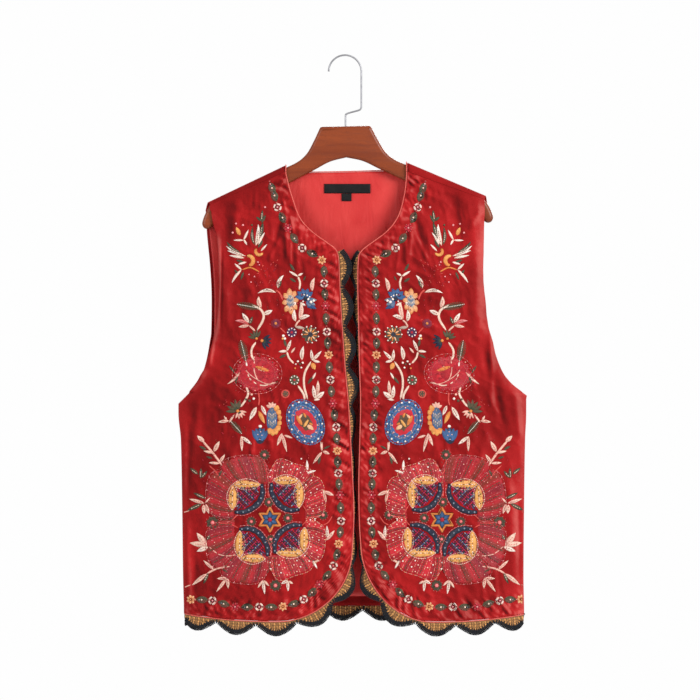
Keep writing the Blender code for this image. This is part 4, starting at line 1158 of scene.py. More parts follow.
def twisted_cord():
    """Twisted rayon cord: bright, with a slanting rope twist painted lighter on its crests and darker in its
    grooves, as painted light and shade.
    """
    material, node, where = new_material("twisted rayon cord, coral")
    # The cord's strands cross it every 0.6 mm and are drawn at 1.1 mm
    twist = node(
        WAVE, {"Vector": where, "Scale": 280, "Distortion": 0.8}, "Fac", bands_direction="DIAGONAL"
    )
    worn = node(NOISE, {"Vector": where, "Scale": 90})
    # Painted light and shade: the twist's crests are lighter and its grooves darker
    colour = node(RAMP, {"Fac": twist}, stops=((0.2, "#BC302B"), (0.8, "#D5594D")))
    colour = mixed_in(node, colour, worn, 0.45, 0.7, 0.4, "#D77567")
    finish_material(node, colour, (worn, 0.45, 0.6), twist, 0.5, 0.0004, Sheen_Weight=0.1)
    return material


def dyed_thread(name, kind, strand_inputs, dark, rough, sheen, groove=0.5, bump=0.5):
    """Dyed thread that takes each stitch's own colour, with painted shade in the fine grooves between
    strands.
    """
    material, node, where = new_material(name)
    lengthwise = node("ShaderNodeUVMap", None, "UV", uv_map="strands") if kind == WAVE else where
    settings = {"bands_direction": "Y"} if kind == WAVE else {}
    dyed = node("ShaderNodeAttribute", None, "Color", attribute_name="thread_colour")
    strand = node(kind, {"Vector": lengthwise, **strand_inputs}, "Fac", **settings)
    uneven = node(NOISE, {"Vector": where, "Scale": 200, "Detail": 3, "Roughness": 0.6})
    shade = node(RAMP, {"Fac": uneven}, stops=((0.3, "#D8D4D0"), (0.7, "#FFFFFF")))
    colour = node(MIX, {0: 1, 6: dyed, 7: shade}, 2, data_type="RGBA", blend_type="MULTIPLY")
    # Painted shade in the grooves between strands, up to a share of dark
    colour = mixed_in(node, colour, strand, groove, 0, dark, "#3A1A14")
    finish_material(
        node, colour, (uneven, rough, rough + 0.12), strand, bump, 0.0005,
        Sheen_Weight=sheen, Sheen_Roughness=0.35, Specular_IOR_Level=0.3,
    )
    return material


def crochet_yarn():
    """Mercerised cotton yarn, crocheted: rounded stitches with a soft light and plied strands."""
    plies = {"Scale": 1500, "Detail": 3}
    return dyed_thread("mercerised cotton crochet yarn", NOISE, plies, 0.35, 0.7, 0.04)


def knotting_floss():
    """Cotton embroidery floss in knots and short stitches: tight, with a dull silky light."""
    plies = {"Scale": 1900, "Detail": 3}
    return dyed_thread("cotton embroidery floss, knots", NOISE, plies, 0.3, 0.5, 0.1, bump=0.4)


def satin_thread():
    """Embroidery floss in satin stitch: smooth, with a silky light along fine parallel strands."""
    # Strands are 0.3 mm wide and are drawn at 0.9 mm, or they would not show
    strands = {"Scale": 350, "Distortion": 1.2, "Detail": 1, "Detail Scale": 0.6}
    return dyed_thread("cotton embroidery floss, satin stitch", WAVE, strands, 0.2, 0.45, 0.04, groove=0.4)


def crochet_ground():
    """The chained ground of the crochet: matt gold cotton with a close rib, coloured much darker than the
    stitches' yarn as painted shade between them.
    """
    material, node, where = new_material("cotton crochet ground, gold in painted shade")
    knots = node(NOISE, {"Vector": where, "Scale": 700, "Detail": 3, "Roughness": 0.6})
    patchy = node(NOISE, {"Vector": where, "Scale": 90})
    # Painted shade: dark browns for the gold yarn seen between the stitches
    colour = node(RAMP, {"Fac": knots}, stops=((0.35, "#4F3018"), (0.65, "#82592C")))
    finish_material(node, colour, (patchy, 0.78, 0.9), knots, 0.6, 0.0008, Sheen_Weight=0.1)
    return material


def stained_beech():
    """Beech stained mahogany under satin varnish: fine straight grain with soft darker streaks."""
    material, node, where = new_material("stained beech, satin varnish")
    # Grain lines are about 1.5 mm apart and run along the arms
    lengthwise = node(MAPPING, {"Vector": where, "Scale": (0.12, 1, 1)})
    grain = node(NOISE, {"Vector": lengthwise, "Scale": 420, "Detail": 4, "Roughness": 0.65})
    streak = node(NOISE, {"Vector": lengthwise, "Scale": 70, "Detail": 3, "Distortion": 0.8})
    shorter = node(MAPPING, {"Vector": where, "Scale": (0.3, 1, 1)})
    fleck = node(NOISE, {"Vector": shorter, "Scale": 1300})
    colour = node(RAMP, {"Fac": streak}, stops=((0.3, "#712E12"), (0.7, "#853B18")))
    colour = mixed_in(node, colour, grain, 0.5, 0.7, 0.3, "#552213")
    colour = mixed_in(node, colour, fleck, 0.62, 0.72, 0.3, "#431A0C")
    height = node(MATHS, {0: grain, 1: fleck})
    gloss = {"Coat_Weight": 0.05, "Coat_Roughness": 0.28, "Specular_IOR_Level": 0.3}
    finish_material(node, colour, (grain, 0.34, 0.46), height, 0.12, 0.0004, **gloss)
    return material


def plated_wire():
    """Zinc-plated steel wire, drawn: pale grey metal with fine lengthwise marks."""
    material, node, where = new_material("zinc-plated steel wire")
    lengthwise = node(MAPPING, {"Vector": where, "Scale": (1, 1, 0.08)})
    drawn = node(NOISE, {"Vector": lengthwise, "Scale": 1500, "Detail": 3})
    dull = node(NOISE, {"Vector": where, "Scale": 160})
    colour = node(RAMP, {"Fac": dull}, stops=((0.35, "#929296"), (0.7, "#A8A8AC")))
    finish_material(node, colour, (drawn, 0.5, 0.62), drawn, 0.05, 0.0001, Metallic=0.85)
    return material


def label_tape():
    """Woven polyester tape: dense black satin weave, painted a little greyer on the weave's crests as a faint
    painted glint.
    """
    material, node, where = new_material("woven polyester tape, black")
    # The weave's ribs are 0.3 mm apart and are drawn at 1 mm
    warp, weft = (node(WAVE, {"Vector": where, "Scale": 310}, "Fac", bands_direction=axis) for axis in "XZ")
    weave = node(MATHS, {0: warp, 1: weft}, operation="MULTIPLY")
    worn = node(NOISE, {"Vector": where, "Scale": 110})
    # A faint painted glint: the weave's crests are a little greyer
    colour = node(RAMP, {"Fac": weave}, stops=((0.1, "#060607"), (0.9, "#161618")))
    finish_material(node, colour, (worn, 0.5, 0.7), weave, 0.4, 0.0003, Specular_IOR_Level=0.2)
    return material


def plain_floor():
    """Matt painted studio floor, pale grey."""
    material, node, where = new_material("matt studio floor")
    tone = node(NOISE, {"Vector": where, "Scale": 1.5})
    colour = node(RAMP, {"Fac": tone}, stops=((0.3, "#EFEDEA"), (0.7, "#F6F4F2")))
    finish_material(node, colour, (tone, 0.84, 0.86), tone, 0.05, 0.001)
    return material


# ---- stitches


def stitch_tree(material, seed):
    """Lays one rounded stitch on every point, along its thread and facing out of the cloth."""
    tree = bpy.data.node_groups.new("stitch on every point", "GeometryNodeTree")
    tree.is_modifier = True
    node = partial(add_node, tree)
    for name, way in (("Stations", "INPUT"), ("Stitches", "OUTPUT")):
        tree.interface.new_socket(name, in_out=way, socket_type="NodeSocketGeometry")
    bead = node("GeometryNodeMeshUVSphere", {"Segments": STITCH_SIDES, "Rings": STITCH_RINGS, "Radius": 0.5})
    bead = node("GeometryNodeSetShadeSmooth", {"Geometry": bead})
    along, out, size = (
        node("GeometryNodeInputNamedAttribute", {"Name": name}, data_type="FLOAT_VECTOR")
        for name in STATION_VECTORS
    )
    axes = {"Primary Axis": out, "Secondary Axis": along}
    turn = node("FunctionNodeAxesToRotation", axes, primary_axis="Z", secondary_axis="X")
    spread = {2: 1 - STITCH_SPREAD, 3: 1 + STITCH_SPREAD, "Seed": seed}
    change = node("FunctionNodeRandomValue", spread, 1, data_type="FLOAT")
    scaled = node("ShaderNodeVectorMath", {0: size, "Scale": change}, operation="SCALE")
    stations = {"Points": node("NodeGroupInput"), "Instance": bead, "Rotation": turn, "Scale": scaled}
    laid = node("GeometryNodeInstanceOnPoints", stations)
    made = node("GeometryNodeRealizeInstances", {"Geometry": laid})
    for name in STATION_VECTORS:
        made = node("GeometryNodeRemoveAttribute", {"Geometry": made, "Name": name})
    made = node("GeometryNodeSetMaterial", {"Geometry": made, "Material": material})
    node("NodeGroupOutput", {0: made})
    return tree


def dye_points(mesh, colours):
    """Gives every point of a mesh its thread's colour."""
    full = np.hstack([colours, np.ones((len(colours), 1))])
    attribute = mesh.attributes.new("thread_colour", "FLOAT_COLOR", "POINT")
    attribute.data.foreach_set("color", full.ravel())


def stitch_mesh(name, rows, material, seed):
    """Realises stitches as one mesh. A row is a place, a direction, a normal, a size and a colour."""
    places, along, out, size, colour = (np.array(column, float) for column in zip(*rows))
    stations = bpy.data.meshes.new(name + "_stations")
    stations.vertices.add(len(places))
    stations.vertices.foreach_set("co", (places * MM).ravel())
    for key, values in zip(STATION_VECTORS, (along, out, size * MM)):
        stations.attributes.new(key, "FLOAT_VECTOR", "POINT").data.foreach_set("vector", values.ravel())
    dye_points(stations, colour)
    mesh = worked_out(name, stations, stitch_tree(material, seed))
    bpy.data.meshes.remove(stations)
    return mesh


# ---- needlework


def across_of(direction):
    return np.array([-direction[1], direction[0]])


def direction_at(degrees):
    angle = math.radians(degrees)
    return np.array([math.cos(angle), math.sin(angle)])


def turned(flat, turn):
    """Flat vectors turned by some degrees."""
    flat, d = np.asarray(flat), direction_at(turn)
    return flat[..., :1] * d + flat[..., 1:] * across_of(d)


def on_oval(at, across, up, degrees, turn=0):
    """A point of an oval's rim."""
    return at + turned(direction_at(degrees) * (across, up), turn)


def heading_of(direction):
    """A flat direction's angle in degrees."""
    return math.degrees(math.atan2(direction[1], direction[0]))


def quads_of(ids):
    """The four corners of each cell of a grid of point numbers."""
    return np.stack([ids[:-1, :-1], ids[1:, :-1], ids[1:, 1:], ids[:-1, 1:]], axis=-1).reshape(-1, 4)


class Needlework:
    """The embroidery of one front, drawn flat on the right front in millimetres."""

    def __init__(self):
        self.points, self.faces, self.strands, self.colours = [], [], [], []
        self.stitches = []
        self.count = 0

    def patch(self, xz, lift, strands, colours, broad=False):
        """A domed grid of thread with its underside closed; a broad one's underside follows the cloth."""
        rows, columns = xz.shape[:2]
        size = rows * columns
        ids = self.count + np.arange(size).reshape(rows, columns)
        quads = quads_of(ids)
        rim = np.concatenate([ids[0, :-1], ids[:-1, -1], ids[-1, :0:-1], ids[:0:-1, 0]])
        layers = [lift]
        if broad:
            after = np.roll(rim, -1)
            layers.append(np.full(lift.shape, -BURIED))
            self.faces += (quads[:, ::-1] + size).tolist()
            self.faces += np.stack([rim, after, after + size, rim + size], axis=-1).tolist()
        else:
            self.faces.append(rim.tolist())
        self.faces += quads.tolist()
        for layer in layers:
            self.add_points(xz, layer, strands, colours)

    def add_points(self, xz, lift, strands, colours):
        self.points.append(np.column_stack([xz.reshape(-1, 2), lift.ravel()]))
        self.strands.append(strands.reshape(-1, 2))
        self.colours.append(np.broadcast_to(colours, (*lift.shape, 3)).reshape(-1, 3))
        self.count += lift.size

    def strip(self, path, half_widths, colour, height, columns=5, lengthwise=True, tip=None):
        """A raised strip of thread along a path, with rounded sides sunk into the cloth."""
        path = np.asarray(path, float)
        run = unit(np.gradient(path, axis=0))
        side = np.stack([-run[:, 1], run[:, 0]], axis=1)
        v = np.linspace(-1, 1, columns)
        half = np.broadcast_to(half_widths, len(path))[:, None]
        xz = path[:, None] + side[:, None] * (half * v)[..., None]
        ends = np.minimum(half / np.max(half), 1) ** 0.5
        lift = height * ends * np.sqrt(np.maximum(1 - v**2, 0)) - SINK
        length = distances(path)
        u, w = np.broadcast_to(length[:, None], lift.shape), half * v
        strands = np.stack([u, w] if lengthwise else [w, u], axis=-1)
        share = (length / length[-1])[:, None, None]
        base = THREADS[colour]
        shade = base + (THREADS[tip or colour] - base) * share
        # Painted shade along the strip's rounded sides
        edge = 1 - EDGE_SHADE * (np.abs(v) ** 3)[None, :, None]
        self.patch(xz, lift, strands, shade * edge)

    def leaf(self, base, end, width, colour, bend=0, height=LEAF_HEIGHT, vein=None, **looks):
        """A pointed leaf of long stitches, widest a little past its middle."""
        base, end = np.array(base, float), np.array(end, float)
        run = end - base
        t = np.linspace(0, 1, 8)
        path = base + run * t[:, None] + across_of(run) * (bend * np.sin(math.pi * t))[:, None]
        half = LEAF_FULLNESS * width / 2 * np.maximum(np.sin(math.pi * t**0.85) ** 0.7, 0.12)
        self.strip(path, half, colour, height, **looks)
        if vein:
            self.row(path[1:6], 3.2, 2.9, 0.9, [vein], 1)

    def stem(self, points, width, colour, height=STEM_HEIGHT):
        path = curve_through(points, 5)
        t = np.linspace(0, 1, len(path))
        half = STEM_FULLNESS * width / 2 * np.clip(np.minimum(t, 1 - t) * 8 + 0.35, 0, 1)
        self.strip(path, half, colour, height)

    def disc(self, centre, across, colour, height, up=None, turn=0, petals=0, depth=0, rim=None):
        """A domed round or oval patch, whose rim may be scalloped."""
        up = up or across
        count = DISC_POINTS * max(petals, DISC_PETALS)
        angle = 2 * math.pi * np.arange(count) / count
        r = np.array(DISC_RINGS)[:, None]
        wave = 1 - depth * (0.5 + 0.5 * np.cos(petals * angle)) if petals else np.ones_like(angle)
        flat = np.stack([r * wave * across * np.cos(angle), r * wave * up * np.sin(angle)], axis=-1)
        xz = np.asarray(centre) + turned(flat, turn)
        lift = np.broadcast_to(height * np.sqrt(1 - r**2 * 0.999) - SINK, xz.shape[:2]).copy()
        lift[-2:] = -BURIED
        strands = np.stack([r * (across + up) / 2 + 0 * angle, angle * (across + up) / 4 + 0 * r], axis=-1)
        shade = THREADS[colour] + (THREADS[rim or colour] - THREADS[colour]) * r[..., None]
        ids = self.count + np.arange(lift.size).reshape(lift.shape)
        ids = np.hstack([ids, ids[:, :1]])
        self.faces += quads_of(ids).tolist() + [ids[0, :-1].tolist(), ids[-1, -2::-1].tolist()]
        self.add_points(xz, lift, strands, shade)

    def stitch(self, at, turn, length, width, colour, height=None):
        """One stitch, or a knot where it is as wide as it is long."""
        self.stitches.append((*at, turn, length, width, height or 0.8 * width, colour))

    def knot(self, at, radius, colour):
        self.stitch(at, 0, 2 * radius, 2 * radius, colour, 1.5 * radius)

    def row(self, points, pitch, length, width, colours, steps=5):
        """Stitches one after another along a path, in repeating colours."""
        line = curve_through(points, steps)
        count = max(1, round(length_of(line) / pitch))
        spots = along(line, (np.arange(count) + 0.5) / count)
        runs = along(line, (np.arange(count) + 0.7) / count) - spots
        for k, (spot, run) in enumerate(zip(spots, runs)):
            self.stitch(spot, heading_of(run), length, width, colours[k % len(colours)])

    def satin_under(self, x, z):
        """How high the satin stands under each place, 0 where there is none."""
        tree = BVHTree.FromPolygons(np.vstack(self.points).tolist(), self.faces)
        down = Vector((0, 0, -1))
        hits = [tree.ray_cast(Vector((*place_at, 10)), down)[0] for place_at in zip(x, z)]
        return np.array([max(hit.z, 0) if hit else 0 for hit in hits])

    def petals(self, centre, inner, outer, width, count, start, sweep, colour, tip=None, rise=1):
        """Leaves that spread from a centre, rise times as long upwards."""
        for k in range(count):
            spoke = direction_at(start + sweep * (k + 0.5) / count) * (1, rise)
            self.leaf(centre + inner * spoke, centre + outer * spoke, width, colour, tip=tip)

    def ring_of_knots(self, centre, across, radius, count, colour, up=None, turn=0):
        for k in range(count):
            self.knot(on_oval(centre, across, up or across, 360 * k / count, turn), radius, colour)


# ---- motifs


def cup(work, at, size, colour, turn):
    """A kidney-shaped flower cup: a thick crescent that bulges towards turn."""
    arc = [at + 0.64 * size * direction_at(turn + a) for a in np.linspace(-95, 95, 11)]
    half = 0.32 * size * np.sin(np.linspace(0.45, math.pi - 0.35, 11)) ** 0.6
    work.strip(arc, half, colour, 1.5, columns=7, lengthwise=False, tip="gold")


def bloom(work, at, size, colour):
    """A tall lobed flower with a grey-blue heart."""
    work.petals(at, 0.35 * size, 0.95 * size, 0.62 * size, 8, -15, 360, colour, "orange", rise=1.6)
    work.disc(at, 0.5 * size, "mist", 1.5, up=0.95 * size, petals=5, depth=0.15, rim="grey")
    for k in range(-2, 3):
        low, high = at + (k * 2.2, -7.5 + abs(k)), at + (k * 1.6, 8.5 - abs(k) * 2)
        work.row([low, high], 3.2, 3, 0.9, ["sky", "cream"])


def wings(work, at, size, colour):
    """A blue bird-winged bloom: two fans of petals with navy shadows and white knots."""
    work.petals(at, 1, 0.95 * size, 0.5 * size, 5, 20, 170, colour, "steel")
    work.petals(at, 2, 0.7 * size, 0.34 * size, 4, 30, 140, "navy")
    work.petals(at + (2, -3), 1, size, 0.42 * size, 3, -75, 90, "steel", "mist")
    work.disc(at + (1, -1), 3.4, "navy", 1.6, up=4.2)
    work.leaf(at + (3, -13), at + (17, -16), 5.4, "steel", 0.1)
    for x, z in ((5.5, -1), (7, 1.5), (3.5, 3.5), (-2.5, -5), (-1, 4.5)):
        work.knot(at + (x, z), 1.3, "white")


def round_flower(work, at, size, colour):
    work.disc(at, size, colour, 1.2, petals=8, depth=0.12, rim="berry")
    work.petals(at, 0.4 * size, 0.95 * size, 0.22 * size, 8, 0, 360, "berry")
    work.disc(at, 0.34 * size, "orange", 1.7)


def dotted(work, at, size, colour):
    """A round flower ringed with white knots."""
    work.disc(at, size, colour, 1.1, petals=8, depth=0.08)
    work.ring_of_knots(at, 0.7 * size, 0.15 * size, 8, "white")
    work.disc(at, 0.3 * size, "crimson", 1.6)


def fan(work, at, size, colour):
    """A navy flower with orange stamens that end in white knots."""
    work.disc(at, 0.95 * size, colour, 1, up=0.92 * size, petals=10, depth=0.25, rim="olive")
    for k in range(10):
        spoke = direction_at(-110 + 290 * k / 9)
        foot, end = at + 0.2 * size * spoke, at + 0.7 * size * spoke
        work.leaf(foot, end, 0.19 * size, ("peach", "orange")[k % 2], height=1.6)
        work.knot(at + 0.84 * size * spoke, 1.2, "white")


def thistle(work, at, size, colour, turn):
    """A bud of spreading tips over an orange heart."""
    work.petals(at, 0.1 * size, size, 0.3 * size, 5, turn - 65, 130, colour)
    work.petals(at, 0.1 * size, 0.55 * size, 0.22 * size, 3, turn - 40, 80, "moss")
    work.knot(at, 0.16 * size, "orange")


def fringe_leaf(work, at, size, colour, end):
    """A long leaf with a white vein and a fringe of short stitches down both sides."""
    end = np.array(end)
    run = unit(end - at)
    work.leaf(at, end, 0.5 * size, colour, height=0.9)
    work.row([at, end], 2.4, 2.1, 1, ["white"])
    count = round(np.linalg.norm(end - at) / 2.6)
    for k in range(1, count):
        middle = at + (end - at) * k / count
        reach = size / 2 * math.sin(math.pi * k / count) ** 0.6
        for side in (-1, 1):
            spot = middle + side * across_of(run) * reach * 0.75
            work.stitch(spot, heading_of(run) + side * 48, 0.75 * reach + 1.2, 1.1, colour)


def peony(work, at, size, colour):
    """A wide crimson flower: rings of petals with pale veins and knots, and a beaded rim."""
    tall = 0.8

    def spot(reach, degrees):
        return on_oval(at, reach * size, reach * tall * size, degrees)

    work.disc(at, 0.97 * size, "ruby", 0.9, up=0.97 * tall * size, petals=13, depth=0.1, rim=colour)
    work.petals(at, 0.3 * size, 0.7 * size, 0.24 * size, 11, 30, 360, "scarlet", "ruby", rise=tall)
    for k in range(26):
        angle = 8 + 360 * k / 26
        work.row([spot(0.74, angle), spot(0.94, angle + 3)], 2.8, 2.6, 0.8, ["dusk", "rose_red"])
        work.knot(spot(0.84 + 0.06 * (k % 2), angle + 7), 0.95, ("blush", "dusk", "olive")[k % 3])
    for k in range(12):
        work.row([spot(0.25, 30 * k), spot(0.6, 30 * k)], 3, 2.6, 0.9, ["berry", "rose_red"])
    for reach, threads in ((0.72, ["dusk", "coral"]), (1, ["dusk", "rose", "coral"])):
        work.row([spot(reach, a) for a in range(0, 361, 20)], 2.6, 2.3, 1, threads)
    work.stem([at + (-17, 5), at + (-4, -6), at + (14, -14.5), at + (28, -13)], 1.2, "blush", 1.6)


def eye(work, at, size, colour, end):
    """An orange leaf with a cream outline."""
    end = np.array(end)
    run = unit(end - at)
    work.leaf(at - run, end + run, 1.15 * size, "cream", height=0.9)
    work.leaf(at, end, 0.68 * size, colour, height=1.6, lengthwise=False)


def ring(work, at, size, colour):
    circle = [at + 0.8 * size * direction_at(a) for a in range(0, 361, 30)]
    work.disc(at, 0.75 * size, "olive", 0.9)
    work.strip(circle, 0.2 * size, colour, 0.9)
    work.ring_of_knots(at, 0.4 * size, 0.7, 5, "coral")


def halo(work, at, size, colour):
    """A small round flower: a dark ring of short petals about a pink knot."""
    work.disc(at, 0.98 * size, "bark", 0.7, petals=8, depth=0.14, rim=colour)
    work.petals(at, 0.5 * size, 0.95 * size, 0.42 * size, 8, 10, 360, colour, "bark")
    work.disc(at, 0.46 * size, "brick", 1.1)
    work.ring_of_knots(at, 0.98 * size, 0.75, 12, "dusk")
    work.knot(at, 0.3 * size, "pink")


def comb(work, at, size, colour):
    """A tall scalloped flower: a hatched grey-blue heart with orange lobes down one side."""
    for k in range(8):
        spoke = direction_at(58 - 175 * k / 7) * (0.48, 1)
        foot, end = at + 0.55 * size * spoke, at + size * spoke * (1.12, 1)
        work.leaf(foot, end, 0.36 * size, colour, tip="gold", height=1.4)
    work.disc(at - (1.5, 0), 0.36 * size, "mist", 1.2, up=0.82 * size, petals=6, depth=0.08, rim="steel")
    for k in range(-2, 3):
        low, high = at + (2.6 * k - 1.5, -15 + 2.4 * abs(k)), at + (2.2 * k - 1.5, 15 - 2.4 * abs(k))
        work.row([low, high], 3.6, 3.2, 1, ["sky", "grey", "cream"])
    work.petals(at + (-2, 0.7 * size), 0, 0.36 * size, 0.2 * size, 4, 25, 150, "blush")


def bud(work, at, size, colour):
    """A plump blue bud of overlapping petals on a white throat."""
    work.disc(at, 0.55 * size, "navy", 1, up=0.8 * size)
    work.petals(at - (0, 0.6 * size), 0.1 * size, 1.35 * size, 0.5 * size, 5, 50, 80, colour, "steel")
    work.petals(at - (0, 0.5 * size), 0.1 * size, 0.8 * size, 0.34 * size, 3, 62, 56, "navy", "sky")
    work.disc(at + (0.5, 0.88 * size), 2.6, "white", 1.6, up=2.2)
    for x, z in ((-3, 2), (3, 1), (0, -5), (1, 6)):
        work.knot(at + (x, z), 0.9, "blush")


def rosette(work, at, size, colour):
    """A tall tilted rosette: a blue ring, a crimson ring with knots and a brown heart of orange leaves."""
    tilt, wide, tall = 28, 0.82 * size, 1.12 * size

    def spot(reach, degrees):
        return on_oval(at, reach * wide, reach * tall, degrees, tilt)

    work.disc(at, wide, "steel", 1, up=tall, turn=tilt, petals=22, depth=0.05, rim=colour)
    rings = (0.96, ["sky", "mist", "sky", "steel"]), (0.8, ["steel", "sky"]), (0.7, ["mist", "sky"])
    for reach, threads in rings:
        work.row([spot(reach, a) for a in range(0, 361, 15)], 3.4, 3.6, 2, threads)
    work.disc(at, 0.68 * wide, "crimson", 1.5, up=0.7 * tall, turn=tilt, petals=12, depth=0.05, rim="scarlet")
    work.row([spot(0.68, a) for a in range(0, 361, 20)], 3, 2.6, 1.1, ["blush", "dusk", "rose_red"])
    work.ring_of_knots(at, 0.86 * wide, 1.6, 14, "white", up=0.86 * tall, turn=tilt)
    work.ring_of_knots(at, 0.6 * wide, 1.2, 11, "blush", up=0.62 * tall, turn=tilt)
    work.disc(at, 0.5 * wide, "bark", 1.8, up=0.54 * tall, turn=tilt, petals=7, depth=0.12, rim="olive")
    for start, end, width, thread in (
        ((-13, 10), (-4, -6), 7, "orange"), ((-3, -8), (5, 5), 5.4, "gold"),
        ((2, -4), (12, -11), 7.4, "peach"), ((-11, 4), (-4, 12), 4.4, "peach"),
        ((1, 6), (-3, 14), 4, "orange"), ((5, -1), (11, -4), 3.8, "orange"),
    ):
        work.leaf(at + start, at + end, width, thread, height=2.6)


# Kind, x, height, size and thread of each motif, and its turn in degrees or its far end
MOTIFS = (
    (cup, -141, -299, 11, "orange", 10), (cup, -125, -285, 8.7, "orange", -125),
    (bloom, -80, -358, 12.8, "peach"), (wings, -59, -353, 15.2, "sky"),
    (round_flower, -101, -390, 8, "plum"), (dotted, -78, -403, 8.1, "plum"), (fan, -51, -406, 14.5, "navy"),
    (thistle, -129, -412, 13, "olive", 115), (thistle, -121, -415, 14.5, "navy", -15),
    (fringe_leaf, -124, -368, 10.4, "olive", (-158, -362)),
    (fringe_leaf, -144, -445, 12.2, "olive", (-152, -414)),
    (fringe_leaf, -150, -550, 9.3, "olive", (-167, -531)), (peony, -128, -463, 36.2, "crimson"),
    (eye, -132, -452, 9.3, "orange", (-107, -460)), (dotted, -74, -472, 8.1, "olive"),
    (ring, -87, -492, 6.7, "coral"), (thistle, -156, -517, 17.4, "olive", 130),
    (thistle, -155, -517, 11.6, "blush", -60), (comb, -105, -529, 24.1, "orange"),
    (bud, -124, -553, 15.9, "sky"), (rosette, -58, -533, 31.9, "sky"), (halo, -117.5, -580.5, 8.1, "moss"),
    (halo, -32.5, -667.5, 7.5, "moss"), (halo, -101.5, -769.5, 9, "moss"),
    (halo, -192.5, -679, 10.2, "moss"), (halo, -111, -649, 7.5, "moss"), (halo, -83.5, -672, 7.5, "moss"),
    (halo, -108.5, -702.5, 6.7, "moss"), (halo, -136.5, -677, 7.5, "moss"),
)


def superellipse(spoke, reach):
    """How far a rounded square's edge lies in a direction."""
    return reach / (spoke[0] ** 4 + spoke[1] ** 4) ** 0.25


def shell_lines(lobe, middle, across, share):
    """A lobe's lines, side by side, from its inner edge to its outer one."""
    lines = []
    for v in across:
        spoke = direction_at(middle + MEDALLION["half_angle"] * v)
        near, far = (superellipse(spoke, MEDALLION[edge]) for edge in ("inner", "outer"))
        far *= 1 - (1 - MEDALLION["squeezed"]) * smoothstep(spoke[0] * 2)
        cut = MEDALLION["valleys"][int((v > 0) == lobe % 2)] * abs(v) ** 4
        reach = near + (far - near) * (1 - cut) * share
        bow = MEDALLION["bow"] * v * np.sin(math.pi * share)
        lines.append(MEDALLION["centre"] + spoke * reach[:, None] + across_of(spoke) * bow[:, None])
    return np.stack(lines, axis=1)


def medallion(work):
    """Eight shell-shaped lobes of crimson bands round four corner blossoms and a six-pointed star."""
    count = 2 * MEDALLION["bands"] + 1
    share = np.linspace(0, 1, 10)
    across = np.linspace(-1, 1, count)
    for lobe in range(MEDALLION["lobes"]):
        middle = 360 / MEDALLION["lobes"] * (lobe + 0.5)
        # Lobes on the half towards the front edge take lighter threads, fewer dark dashed bands and white
        # knots: painted light on that half
        bright = int(direction_at(middle)[0] > 0)
        shell = shell_lines(lobe, middle, across, share)
        lift = np.where(np.arange(count) % 2, *MEDALLION["lifts"]) * np.ones((len(share), 1))
        lift[[0, -1]] = lift[:, [0, -1]] = -SINK
        threads = [PETAL_THREADS[bright][(j // 2 + lobe) % 5] for j in range(count)]
        strands = np.stack(np.broadcast_arrays(share[:, None] * 40, across[None] * 30), axis=-1)
        work.patch(shell, lift, strands, np.array([THREADS[thread] for thread in threads]), broad=True)
        work.row(shell[-1, ::2], 2.6, 2.4, 1, OUTLINE_THREADS[bright])
        for j in range(0, count, 2):
            work.row(shell[1:, j], 2.9, 2.7, 0.75, OUTLINE_THREADS[bright])
        for j in range(1, count, 2):
            if (j // 2 + lobe) % (2 + bright) == 1:
                work.row(shell[1:-1, j], 3.6, 2.8, 1.9, ["bark", "olive", "clay"])
                continue
            for at_share in (0.25, 0.55, 0.85) if (j // 2) % 2 else (0.4, 0.7):
                spot = along(shell[:, j], [at_share])[0]
                threads = ("white", "blush") if bright else ("dusk", "blush", "dusk")
                work.knot(spot, 1.15 if bright else 0.85, threads[j // 2 % len(threads)])
    for x, z, turn in MEDALLION["blossoms"]:
        blossom(work, np.array([x, z]), turn)
    star(work, np.array(MEDALLION["centre"]))


def lattice(work, spots, turn):
    """A wine-red quarter ring under crossed stitches, in repeating colours."""
    corner = np.array(BLOSSOM["corner"])
    angles = np.linspace(180, 270, 13)
    xz = spots([[corner + r * direction_at(a) for a in angles] for r in BLOSSOM["rows"]])
    flat = np.full(xz.shape[:2], MEDALLION["lifts"][1])
    flat[[0, -1]] = flat[:, [0, -1]] = -SINK
    work.patch(xz, flat, xz, THREADS["wine"], broad=True)
    across, up = BLOSSOM["cell"]
    inside, outside = BLOSSOM["band"]
    for i in range(9):
        for j in range(17):
            cell = corner - (across * i + up * (j % 2) + 2, up * j)
            if inside < math.hypot(*(cell - corner)) < outside and cell[1] < BLOSSOM["below"]:
                thread = LATTICE_THREADS[(2 * i + 3 * j) % len(LATTICE_THREADS)]
                work.stitch(spots(cell), turn + (45, -45)[(i + j) % 2], 3.8, 1.9, thread)


